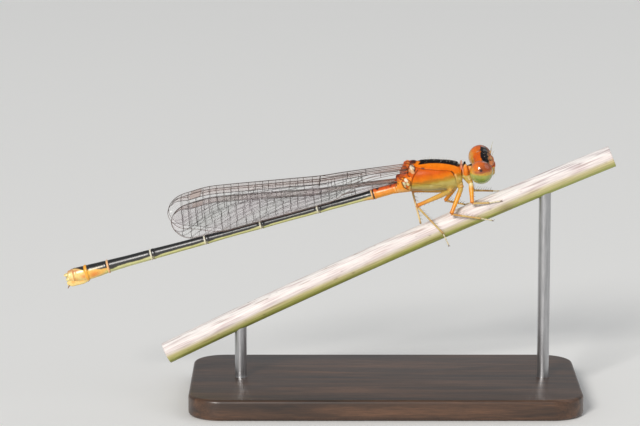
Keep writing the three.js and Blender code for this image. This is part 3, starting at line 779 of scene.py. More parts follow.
    # --- head
    hx, hy, hz = head_local(x, y, z)
    ahy = np.abs(hy)
    hd = step(0.02, -0.02, np.minimum(DIST["head"], DIST["lip"]) - np.minimum(DIST["neck"], DIST["pro"])) * step(8.85, 8.95, x)
    hc = np.tile(rgb(214, 192, 122), (len(P), 1))
    hc = paint(hc, rgb(222, 96, 12), step(0.02, 0.16, hz) * step(0.05, -0.08, hx))  # behind the black band
    hc = paint(hc, rgb(222, 104, 16), step(0.22, 0.34, hz) * bump(ahy, 0.66, 0.26) * step(0.0, -0.1, hx))
    hc = paint(hc, rgb(214, 158, 84), step(-0.30, -0.44, hx) * step(0.35, 0.1, hz))
    front = 0.43 - 0.07 * bump(ahy, 0.3, 0.12) + 0.02 * wav2
    rear = -0.12 + 0.10 * bump(ahy, 0.62, 0.20) + 0.02 * wav2
    band = step(-0.02, 0.02, hx - rear) * step(0.02, -0.02, hx - front) * step(0.24, 0.32, hz)
    hc = paint(hc, rgb(6, 5, 9), band)
    hc = paint(hc, rgb(190, 118, 74), step(-0.01, 0.03, hx - front) * step(0.05, 0.12, hz))  # brow
    hc = paint(hc, rgb(206, 142, 112), bump(hz, 0.30, 0.06) * step(0.5, 0.6, hx) * 0.6)
    clyp = step(0.5, 0.56, hx) * step(0.17, 0.12, hz) * step(-0.22, -0.17, hz)
    hc = paint(hc, rgb(204, 92, 44), clyp)
    hc = paint(hc, rgb(90, 44, 34), clyp * bump(hz, 0.14, 0.03) * 0.7)
    clyp2 = step(0.5, 0.56, hx) * step(-0.17, -0.2, hz) * step(-0.36, -0.32, hz)
    hc = paint(hc, rgb(222, 170, 120), clyp2)
    lip = step(0.012, -0.012, DIST["lip"] - DIST["head"])
    hc = paint(hc, rgb(216, 172, 104), lip)
    hc = paint(hc, rgb(226, 140, 84), lip * step(-0.4, -0.3, hz) * 0.6)
    hc = paint(hc, rgb(214, 206, 168), step(-0.45, -0.6, hz) * step(0.45, 0.3, hx))
    cheek = step(0.3, 0.36, ahy) * step(0.12, 0.2, hx) * step(0.08, 0.0, hz)
    hc = paint(hc, rgb(198, 190, 112), cheek * (1 - lip) * 0.8)
    move -= hd * 0.02 * bump(hz, 0.155, 0.02) * step(0.45, 0.55, hx)
    move -= hd * 0.022 * bump(hz, -0.185, 0.018) * step(0.45, 0.55, hx)
    move -= hd * 0.028 * bump(hz, -0.335, 0.018) * step(0.42, 0.52, hx)
    move += hd * 0.006 * wobble(P, 0.10, 5) * step(0.3, 0.5, hz) * step(-0.1, 0.0, hx) * step(0.45, 0.35, hx)
    move -= hd * 0.03 * bump(np.hypot(hx - 0.10, ahy - 0.30), 0.0, 0.05) * step(0.3, 0.5, hz)
    col = paint(col, hc, hd)
    return col, move


body_col, body_move = dress_body(V, NV)
V = V + NV * body_move[:, None]

# ---------------------------------------------------------------- abdomen, joined to the same skin
ABDOMEN = [
    [0.0, 0.42, 0.42, 0.02], [0.55, 0.33, 0.35, 0.0], [1.3, 0.335, 0.355, 0.0], [2.18, 0.34, 0.33, 0.0],
    [2.6, 0.285, 0.27, 0.0], [4.2, 0.265, 0.25, 0.0], [5.95, 0.265, 0.25, 0.0], [8.0, 0.25, 0.24, 0.0],
    [9.9, 0.265, 0.255, 0.0], [12.0, 0.265, 0.25, 0.0], [13.73, 0.3, 0.275, 0.0], [15.6, 0.32, 0.29, 0.0],
    [17.46, 0.355, 0.315, 0.0], [19.0, 0.365, 0.325, 0.0], [20.5, 0.42, 0.36, 0.01], [21.3, 0.47, 0.385, 0.04],
    [21.99, 0.5, 0.39, 0.04], [22.89, 0.44, 0.35, -0.02], [23.3, 0.34, 0.27, -0.03],
]
JOINTS = [0.0, 0.55, 2.18, 5.95, 9.89, 13.73, 17.46, 20.5, 21.99, 22.89, 23.3]
DOWN = np.array([-math.cos(TILT), 0, -math.sin(TILT)])
UP = np.array([-math.sin(TILT), 0, math.cos(TILT)])
ROOT = np.array([ABDOMEN_ROOT[0], 0, ABDOMEN_ROOT[1]])


def on_abdomen(s, y, h):
    s, y, h = np.broadcast_arrays(np.asarray(s, float), y, h)
    return ROOT + s[..., None] * DOWN + h[..., None] * UP + y[..., None] * np.array([0, 1.0, 0])


YELLOW = rgb(216, 213, 148)
S_BLACK = rgb(7, 7, 8)


def abdomen_skin():
    stations = [np.arange(0.2, 23.28, 0.075)]
    for j in JOINTS[1:-1]:
        stations.append(np.arange(j - 0.28, j + 0.28, 0.014))
    stations.append(np.arange(22.9, 23.34, 0.02))
    s = np.unique(np.round(np.concatenate(stations), 3))
    keep = np.concatenate([[True], np.diff(s) > 0.006])
    s = s[keep]
    sides = 56
    a = np.arange(sides) * 2 * math.pi / sides  # 0 is the top, running towards the left side
    S, A = np.meshgrid(s, a, indexing="ij")
    hh = curve(ABDOMEN, S, 1)
    hw = curve(ABDOMEN, S, 2)
    drop = curve(ABDOMEN, S, 3)
    down = 1 - np.cos(A)  # 0 on top to 2 below
    swell = np.zeros_like(S)
    for i, j in enumerate(JOINTS[1:-1], start=1):
        k = 0.6 if i < 2 else 1.0
        if i in (7, 8):
            w = 0.055 if i == 7 else 0.08
            swell += 0.050 * bump(S, j, w) - 0.022 * bump(S, j - w * 1.9, 0.02) - 0.022 * bump(S, j + w * 1.9, 0.02)
            continue
        swell += k * (0.022 * bump(S, j - 0.13, 0.09) - 0.040 * bump(S, j - 0.012, 0.018)
                      + 0.030 * bump(S, j + 0.052, 0.036) - 0.012 * bump(S, j + 0.16, 0.06))
    # the plates' lower edges, with the soft underside let in between them
    low = np.abs(np.angle(np.exp(1j * (A - math.pi))))
    edge = 0.62
    soft = step(1.9, 2.4, S) * step(21.6, 21.0, S)
    swell -= 0.020 * bump(low, edge, 0.09) * soft
    swell += 0.014 * bump(low, edge + 0.2, 0.12) * soft
    swell += 0.012 * bump(low, 0, 0.2) * soft
    # a fine ridge on the top of the last rings
    swell += 0.010 * bump(np.minimum(A, 2 * math.pi - A), 0, 0.12) * step(20.4, 20.8, S)
    fine = wobble(np.stack([S.ravel(), np.cos(A).ravel() * 0.3, np.sin(A).ravel() * 0.3], 1), 0.16, 9).reshape(S.shape)
    swell += 0.0022 * fine
    end = step(23.2, 23.34, S)
    shrink = 1 - 0.45 * end
    y = (hw + swell) * np.sin(A) * shrink
    h = (hh + swell) * np.cos(A) * shrink - drop
    P = on_abdomen(S, y, h)
    # --- markings
    deg = np.degrees(np.minimum(A, 2 * math.pi - A))
    wav = wobble(np.stack([S.ravel(), np.zeros(S.size), np.zeros(S.size)], 1), 1.1, 12).reshape(S.shape)
    wav += 0.4 * wobble(np.stack([S.ravel(), np.cos(A).ravel(), np.sin(A).ravel()], 1), 0.3, 13).reshape(S.shape)
    col = np.tile(YELLOW, S.shape + (1,))
    col = paint(col, rgb(168, 176, 92), bump(low, 0.80, 0.22) * 0.55)
    col = paint(col, rgb(224, 222, 184), step(0.5, 0.2, low) * 0.5)
    # distance on to the next joint and back to the last one
    J = np.array(JOINTS)
    seg = np.clip(np.searchsorted(J, S, side="right") - 1, 0, 9)  # 0 is the first ring
    on = J[seg + 1] - S
    back = S - J[seg]
    black_to = 106 + 4 * wav - 8 * step(0.9, 0.2, back) + 10 * step(0.8, 0.25, on)
    black = step(3.0, -3.0, deg - black_to) * step(0.02, 0.05, back)
    dark_part = step(2.16, 2.2, S)
    col = paint(col, S_BLACK, black * dark_part)
    # dark olive bloom along the side of the black
    col = paint(col, rgb(58, 48, 28), bump(deg, 101, 6) * dark_part * 0.45 * step(0.15, 0.3, back))
    # hind rim of each ring black, the front rim of the next one pale
    for j in JOINTS[2:7]:
        col = paint(col, S_BLACK, step(0.15, 0.125, j - S) * step(-0.005, 0.008, j - S) * step(166, 156, deg))
        pale = step(-0.012, 0.0, S - j) * step(0.115, 0.09, S - j)
        col = paint(col, rgb(232, 226, 204), pale)
        col = paint(col, rgb(214, 206, 160), step(0.3, 0.1, np.abs(S - j - 0.1)) * step(96, 112, deg) * 0.6)
        col = paint(col, rgb(60, 46, 36), bump(S, j - 0.008, 0.012) * 0.8)
    # rings 1 and 2: orange, redder above, with black at their joints
    first = step(2.22, 2.16, S)
    oc = np.tile(rgb(234, 142, 16), S.shape + (1,))
    oc = paint(oc, rgb(214, 86, 8), step(76, 50, deg + 5 * wav))
    oc = paint(oc, rgb(242, 172, 66), step(112, 146, deg))
    oc = paint(oc, rgb(196, 62, 8), step(60, 30, deg) * step(0.9, 0.5, S))
    oc = paint(oc, rgb(34, 20, 16), bump(S, 0.50, 0.05) * step(70, 56, deg))
    oc = paint(oc, rgb(24, 12, 8), step(1.0, 0.75, np.hypot((S - 1.78) / 0.12, deg / 56)))
    oc = paint(oc, rgb(40, 16, 10), step(1.0, 0.7, np.hypot((S - 0.88) / 0.09, (deg - 34) / 20)) * 0.8)
    oc = paint(oc, rgb(96, 40, 20), bump(S, 1.16, 0.03) * step(70, 50, deg) * 0.4)
    oc = paint(oc, rgb(60, 30, 20), bump(S, 0.56, 0.018) * 0.6)
    oc = paint(oc, rgb(244, 196, 120), bump(S, 0.64, 0.03) * step(60, 80, deg) * 0.7)
    oc = paint(oc, rgb(24, 16, 14), step(2.06, 2.09, S) * step(2.175, 2.165, S))
    col = paint(col, oc, first)
    col = paint(col, rgb(240, 170, 84), step(2.165, 2.18, S) * step(2.27, 2.25, S) * 0.95)
    col = paint(col, rgb(238, 160, 66), step(2.2, 2.25, S) * step(3.1, 2.4, S) * step(98, 112, deg) * 0.7)
    # the last rings: orange-yellow sides, the black narrowing to the top
    tail = step(20.46, 20.54, S)
    tc = np.tile(rgb(240, 186, 84), S.shape + (1,))
    tc = paint(tc, rgb(232, 132, 28), bump(S, 21.50, 0.32) * bump(deg, 112, 28) * 0.9)
    tc = paint(tc, rgb(246, 190, 40), bump(S, 21.86, 0.10) * bump(deg, 92, 16) * 0.8)
    tc = paint(tc, rgb(226, 206, 126), step(124, 150, deg) * 0.8)
    tc = paint(tc, rgb(206, 206, 120), step(20.95, 20.6, S) * step(100, 120, deg) * 0.8)
    black8 = step(4, -4, deg - (92 - 26 * step(20.5, 21.9, S) + 3 * wav))
    tc = paint(tc, S_BLACK, black8 * step(21.99, 21.93, S))
    # painted highlight: a pale streak along the side of ring 8's black, where the lamp's reflection runs
    tc = paint(tc, rgb(216, 186, 96), bump(deg, 66, 5) * step(20.7, 20.9, S) * step(21.8, 21.5, S) * 0.6)
    nine = step(21.98, 22.03, S)
    n9 = np.tile(rgb(242, 214, 128), S.shape + (1,))
    n9 = paint(n9, rgb(234, 140, 56), bump(deg, 108, 20) * bump(S, 22.25, 0.20) * 0.85)
    n9 = paint(n9, rgb(238, 158, 60), bump(deg, 128, 22) * bump(S, 22.75, 0.14) * 0.7)
    wedge = step(5, -5, deg - (58 - 40 * step(22.1, 22.75, S)))
    n9 = paint(n9, rgb(30, 20, 18), wedge)
    n9 = paint(n9, rgb(206, 116, 84), bump(deg, 48, 16) * step(22.3, 22.6, S) * 0.8)
    tc = paint(tc, n9, nine)
    ten = step(22.87, 22.92, S)
    n10 = np.tile(rgb(244, 224, 150), S.shape + (1,))
    n10 = paint(n10, rgb(196, 116, 78), step(66, 30, deg) * 0.7)
    n10 = paint(n10, rgb(240, 166, 70), bump(deg, 120, 20) * 0.6)
    tc = paint(tc, n10, ten)
    col = paint(col, tc, tail)
    # thick bright rings in front of the last joints
    col = paint(col, rgb(240, 184, 126), step(0.075, 0.055, np.abs(S - 20.5)))
    col = paint(col, rgb(244, 172, 46), step(0.11, 0.09, np.abs(S - 22.01)))
    col = paint(col, rgb(224, 150, 96), step(0.04, 0.025, np.abs(S - 22.89)) * 0.7)
    for j in (20.5, 21.99, 22.89):
        col = paint(col, rgb(120, 62, 34), bump(S, j - 0.075, 0.013) * 0.6)
    n, m = S.shape
    Vv = P.reshape(-1, 3)
    F = grid_faces(n, m, wrap=True)
    tip = on_abdomen(np.array([s[-1] + 0.03]), 0.0, -curve(ABDOMEN, s[-1:], 3))
    head_cap = on_abdomen(np.array([s[0]]), 0.0, 0.0)
    Vv = np.vstack([Vv, tip, head_cap])
    for k in range(m):
        F.append(((n - 1) * m + k, (n - 1) * m + (k + 1) % m, n * m))
        F.append(((k + 1) % m, k, n * m + 1))
    C = np.vstack([col.reshape(-1, 3), rgb(206, 150, 100), rgb(230, 130, 50)])
    return Vv, F, C


def outward(V, F):
    """Faces turned to point out."""
    total = 0.0
    for f in F[:: max(1, len(F) // 4000)]:
        a, b, c = V[f[0]], V[f[1]], V[f[2]]
        total += a @ np.cross(b, c)
    centre = V.mean(0)
    total = sum(((V[f[0]] - centre) @ np.cross(V[f[1]] - centre, V[f[2]] - centre)) for f in F[:: max(1, len(F) // 4000)])
    return F if total > 0 else [tuple(reversed(f)) for f in F]


skin = Bag()
skin.add(V, Q.tolist(), body_col)
body_obj = skin.mesh("body_skin", MAT_SKIN)

av, af, ac = abdomen_skin()
tail = Bag()
tail.add(av, outward(av, af), ac)


# claspers and lobes at the tail's end
def lump(centre, axis, length, r0, r1, colour, sides=12, rows=9, squash=1.0):
    t = np.linspace(0, 1, rows)
    p = np.asarray(centre)[None] + unit(axis)[None] * (t * length)[:, None]
    prof = (r0 + (r1 - r0) * t) * np.sqrt(np.clip(1 - (2 * t - 0.9) ** 2 / 1.25, 0.02, 1))
    return tube(p, prof, sides, squash)


for side in (-1, 1):
    v, f = lump(on_abdomen(23.12, side * 0.12, 0.15), on_abdomen(23.62, side * 0.2, 0.2) - on_abdomen(23.12, side * 0.12, 0.15),
                0.42, 0.12, 0.075, None)
    tail.add(v, outward(v, f), paint(np.tile(rgb(240, 216, 140), (len(v), 1)), rgb(110, 70, 40), wobble(v, 0.2, 3) * 0.25))
    v, f = lump(on_abdomen(23.1, side * 0.12, -0.12), on_abdomen(23.55, side * 0.14, -0.14) - on_abdomen(23.1, side * 0.12, -0.12),
                0.38, 0.13, 0.10, None)
    tail.add(v, outward(v, f), rgb(240, 222, 144))
v, f = lump(on_abdomen(23.1, 0, 0.02), DOWN, 0.33, 0.13, 0.1, None)
tail.add(v, outward(v, f), rgb(222, 176, 110))

# egg-laying blades, one on each side, with a seam between, and their little feelers
blade = Bag()
for side in (-1, 1):
    t = np.linspace(0, 1, 36)
    rows = []
    sides = 20
    a = np.arange(sides) * 2 * math.pi / sides
    T, A = np.meshgrid(t, a, indexing="ij")
    fl = np.clip(np.minimum(T / 0.34, 1), 0, 1) ** 0.6 * np.sqrt(np.clip((1.03 - T) / 0.22, 0.02, 1))
    yy = side * (0.088 + 0.085 * fl * np.cos(A))
    hh = -0.47 + 0.05 * T + 0.03 * (1 - fl) + 0.25 * fl * np.sin(A) + 0.005 * np.sin(T * 60) * fl * step(0.2, -0.4, np.sin(A))
    P = on_abdomen(21.8 + T * 1.66, yy, hh)
    v = P.reshape(-1, 3)
    f = grid_faces(36, sides, wrap=True)
    v = np.vstack([v, P[0].mean(0), P[-1].mean(0)])
    n0 = 36 * sides
    for k in range(sides):
        f.append((n0, (k + 1) % sides, k))
        f.append((n0 + 1, 35 * sides + k, 35 * sides + (k + 1) % sides))
    c = np.tile(rgb(240, 212, 138), (len(v), 1))
    tt = np.concatenate([T.ravel(), [0, 1]])
    ss = np.concatenate([np.sin(A).ravel(), [0, 0]])
    c = paint(c, rgb(236, 140, 42), bump(tt, 0.38, 0.16) * step(-0.5, 0.3, ss) * 0.8)
    c = paint(c, rgb(230, 132, 40), bump(tt, 0.74, 0.08) * step(-0.6, 0.2, ss) * 0.6)
    c = paint(c, rgb(150, 92, 50), step(-0.82, -0.96, ss) * 0.4)
    c = paint(c, rgb(120, 70, 40), bump(tt, 0.02, 0.03) * 0.6)
    blade.add(v, outward(v, f), c)
    v, f = tube(np.array([on_abdomen(23.3, side * 0.09, -0.52), on_abdomen(23.42, side * 0.11, -0.62), on_abdomen(23.5, side * 0.12, -0.72)]),
                [0.045, 0.035, 0.02], 8)
    blade.add(v, outward(v, f), rgb(150, 110, 80))
v, f = spine(on_abdomen(21.9, 0, -0.5), -UP * 0.7 + DOWN * 0.7, 0.24, 0.05, sides=8)
blade.add(v, outward(v, f), rgb(190, 120, 60))
blade_obj = blade.mesh("ovipositor_blades", MAT_SKIN)
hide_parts("ovipositor")
tail_obj = tail.mesh("abdomen_skin", MAT_TAIL)
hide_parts(*["abdomen_%d" % i for i in range(1, 11)])
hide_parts("thorax", "prothorax", "neck", "head", "mouthparts")


# ---------------------------------------------------------------- eyes, with their facets
def facet_eye(side):
    import bmesh
    bm = bmesh.new()
    bmesh.ops.create_icosphere(bm, subdivisions=6, radius=1.0)
    C = np.array([v.co[:] for v in bm.verts])
    T = np.array([[v.index for v in f.verts] for f in bm.faces])
    bm.free()
    nC = len(C)
    G = unit(C[T].mean(1))
    # a facet is a fan from its middle, a little proud, to the meeting points round it
    V = np.vstack([C * 1.0, G * 0.9955])
    # each triangle edge gives two faces, one in the facet of each end
    edges = {}
    for i, t in enumerate(T):
        for a, b in ((t[0], t[1]), (t[1], t[2]), (t[2], t[0])):
            edges.setdefault((min(a, b), max(a, b)), []).append(i)
    F = []
    for (a, b), (i, j) in edges.items():
        F.append((a, nC + i, nC + j))
        F.append((b, nC + j, nC + i))
    F = np.array(F)
    n = np.cross(V[F[:, 1]] - V[F[:, 0]], V[F[:, 2]] - V[F[:, 0]])
    flip = (n * V[F[:, 0]]).sum(1) < 0
    F[flip] = F[flip][:, ::-1]
    d = unit(V)
    # the eye set into the head's own axes
    local = V * EYE_R + np.array([-EYE_BACK, side * EYE_OUT, 0])
    x, y, z = d.T
    out = y * side
    wav = wobble(d, 0.9, 21)
    wav2 = wobble(d, 0.25, 22)
    c = np.tile(rgb(160, 166, 62), (len(V), 1))
    c = paint(c, rgb(136, 156, 80), step(0.0, -0.45, z + 0.08 * wav))
    c = paint(c, rgb(176, 184, 104), step(-0.15, -0.75, x) * step(0.2, -0.1, z) * 0.7)
    c = paint(c, rgb(190, 204, 124), step(-0.50, -0.90, z) * 0.7)
    c = paint(c, rgb(206, 150, 30), step(0.06, 0.22, z + 0.04 * wav + 0.03 * x))
    c = paint(c, rgb(176, 84, 14), step(0.24, 0.40, z + 0.05 * wav - 0.04 * x))
    c = paint(c, rgb(222, 122, 18), step(0.05, -0.45, x) * step(0.28, 0.50, z) * 0.85)
    c = paint(c, rgb(158, 68, 10), step(0.05, 0.40, x) * step(0.36, 0.60, z) * 0.85)
    c = paint(c, rgb(216, 98, 8), step(0.74, 0.92, z + 0.04 * wav) * step(0.35, 0.05, x))
    c = paint(c, rgb(234, 114, 14), step(0.40, 0.72, z) * step(-0.2, -0.6, x) * 0.8)
    c = paint(c, rgb(228, 164, 66), step(-0.45, -0.85, x) * step(-0.05, 0.25, z) * step(0.75, 0.45, z) * 0.8)
    c = paint(c, rgb(224, 158, 62), step(0.1, -0.35, x) * step(0.30, -0.10, out) * step(-0.62, -0.25, z) * step(0.50, 0.25, z) * 0.85)
    # the dark band of the head's top runs a little way on to the eye and narrows
    cap = unit(np.array([0.24, -0.52 * side, 0.80]))
    away = np.arccos(np.clip(d @ cap, -1, 1)) + 0.05 * wav2
    c = paint(c, rgb(10, 8, 12), step(0.56, 0.44, away) * step(-0.06, 0.04, x - 0.04 * wav2))
    c = paint(c, rgb(88, 46, 26), bump(away, 0.58, 0.08) * step(-0.1, 0.1, x) * 0.6)
    c = paint(c, rgb(136, 96, 62), step(0.55, 0.70, x) * step(0.1, 0.4, z) * step(0.1, -0.3, out) * 0.7)
    # painted shade: the dark pseudopupil, which real facets show only where they face the viewer, painted fixed facing
    # the camera, with a brown ring round it
    p = unit(np.array([-0.06, side * 0.84, 0.54]))
    r = np.arccos(np.clip(d @ p, -1, 1))
    c = paint(c, rgb(58, 14, 5), step(0.175, 0.095, r) * 0.97)
    c = paint(c, rgb(110, 46, 10), bump(r, 0.20, 0.10) * step(-0.2, 0.5, z) * 0.4)
    # painted shade: five small dark side spots round the pseudopupil
    for k in range(5):
        q = unit(p + 0.46 * np.array([math.cos(k * 1.2566 + 0.5), 0, math.sin(k * 1.2566 + 0.5)]))
        rk = np.arccos(np.clip(d @ q, -1, 1))
        c = paint(c, rgb(84, 50, 16), step(0.07, 0.03, rk) * 0.25)
    c = c * (1 + 0.07 * wav2[:, None])
    # facets' rims are a shade darker than their middles
    c[nC:] *= 0.86
    world = on_head(local)
    return world, F, np.clip(c, 0, 1)


for side, tag in ((1, "left"), (-1, "right")):
    v, f, c = facet_eye(side)
    o = make("eye_%s_facets" % tag, v, f, MAT_EYE, c)
    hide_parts("eye_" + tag)

# three simple eyes on the crown
oc = Bag()
for centre, r in (((0.36, 0, 0.655), 0.058), ((0.16, 0.22, 0.695), 0.054), ((0.16, -0.22, 0.695), 0.054)):
    n, m = 14, 20
    T, A = np.meshgrid(np.linspace(0, math.pi, n), np.arange(m) * 2 * math.pi / m, indexing="ij")
    p = np.stack([np.sin(T) * np.cos(A), np.sin(T) * np.sin(A), np.cos(T) * 0.85], -1) * r + np.array(centre)
    v = on_head(p).reshape(-1, 3)
    f = grid_faces(n, m, wrap=True)
    c = paint(np.tile(rgb(50, 30, 22), (len(v), 1)), rgb(104, 70, 46), step(0.6, 0.98, np.cos(T).ravel()))
    oc.add(v, outward(v, f), c)
oc_obj = oc.mesh("ocelli", MAT_OCELLUS)

# ---------------------------------------------------------------- feelers: two stout joints and a bristle
for side, tag in ((1, "left"), (-1, "right")):
    bag = Bag()
    a = np.array([0.47, side * 0.30, 0.46])
    b = np.array([0.54, side * 0.38, 0.62])
    c = np.array([0.60, side * 0.47, 0.82])
    tip = np.array([0.74, side * 0.66, 1.42])
    for p0, p1, r0, r1, col in ((a, b, 0.085, 0.075, rgb(120, 74, 44)), (b, c, 0.06, 0.045, rgb(190, 150, 100))):
        t = np.linspace(0, 1, 8)
        p = p0 + (p1 - p0) * t[:, None]
        prof = (r0 + (r1 - r0) * t) * (1 - 0.35 * bump(t, 0, 0.12) - 0.35 * bump(t, 1, 0.12))
        v, f = tube(on_head(p), prof, 12)
        bag.add(v, outward(v, f), col)
    t = np.linspace(0, 1, 26)
    mid = (c + tip) / 2 + np.array([-0.05, -side * 0.03, 0.02])
    p = (1 - t)[:, None] ** 2 * c + 2 * (t * (1 - t))[:, None] * mid + t[:, None] ** 2 * tip
    r = 0.026 * (1 - 0.7 * t) * (1 - 0.25 * (np.sin(t * 2 * math.pi * 5) > 0.9))
    v, f = tube(on_head(p), r, 8)
    bag.add(v, outward(v, f), paint(np.tile(rgb(196, 190, 160), (len(v), 1)), rgb(110, 80, 50), step(0.4, 0.0, np.repeat(t, 8).tolist() + [0, 1])))
    o = bag.mesh("antenna_%s_joints" % tag, MAT_LEG)
    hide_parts("antenna_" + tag)

# ---------------------------------------------------------------- legs
LEGS = {
    "fore_right": ([8.6, -0.36, 15.1], [8.78, -0.52, 14.72], [8.86, -1.02, 13.40], [10.0, -0.84, 13.4], [10.75, -0.74, 13.5]),
    "mid_right": ([8.0, -0.42, 14.9], [8.16, -0.66, 14.42], [7.46, -1.2, 12.70], [9.45, -0.82, 12.34], [10.2, -0.64, 12.18]),
    "hind_right": ([7.6, -0.4, 14.6], [7.38, -0.66, 14.14], [5.16, -1.32, 13.28], [6.95, -0.82, 11.33], [7.33, -0.64, 10.52]),
    "fore_left": ([8.6, 0.36, 15.1], [8.76, 0.52, 14.66], [9.0, 1.04, 13.92], [10.3, 0.38, 14.0], [11.0, 0.66, 13.95]),
    "mid_left": ([8.0, 0.42, 14.9], [7.86, 0.66, 14.3], [7.16, 1.2, 13.2], [8.46, 0.5, 13.06], [9.15, 0.4, 13.25]),
    "hind_left": ([7.6, 0.4, 14.6], [7.3, 0.72, 14.0], [4.95, 1.42, 13.84], [5.5, 0.6, 11.75], [5.9, 0.74, 11.1]),
}
spines = Bag()


def smooth_limb(p0, p1, bow, rows):
    t = np.linspace(0, 1, rows)[:, None]
    return p0 + (p1 - p0) * t + bow * np.sin(t * math.pi)


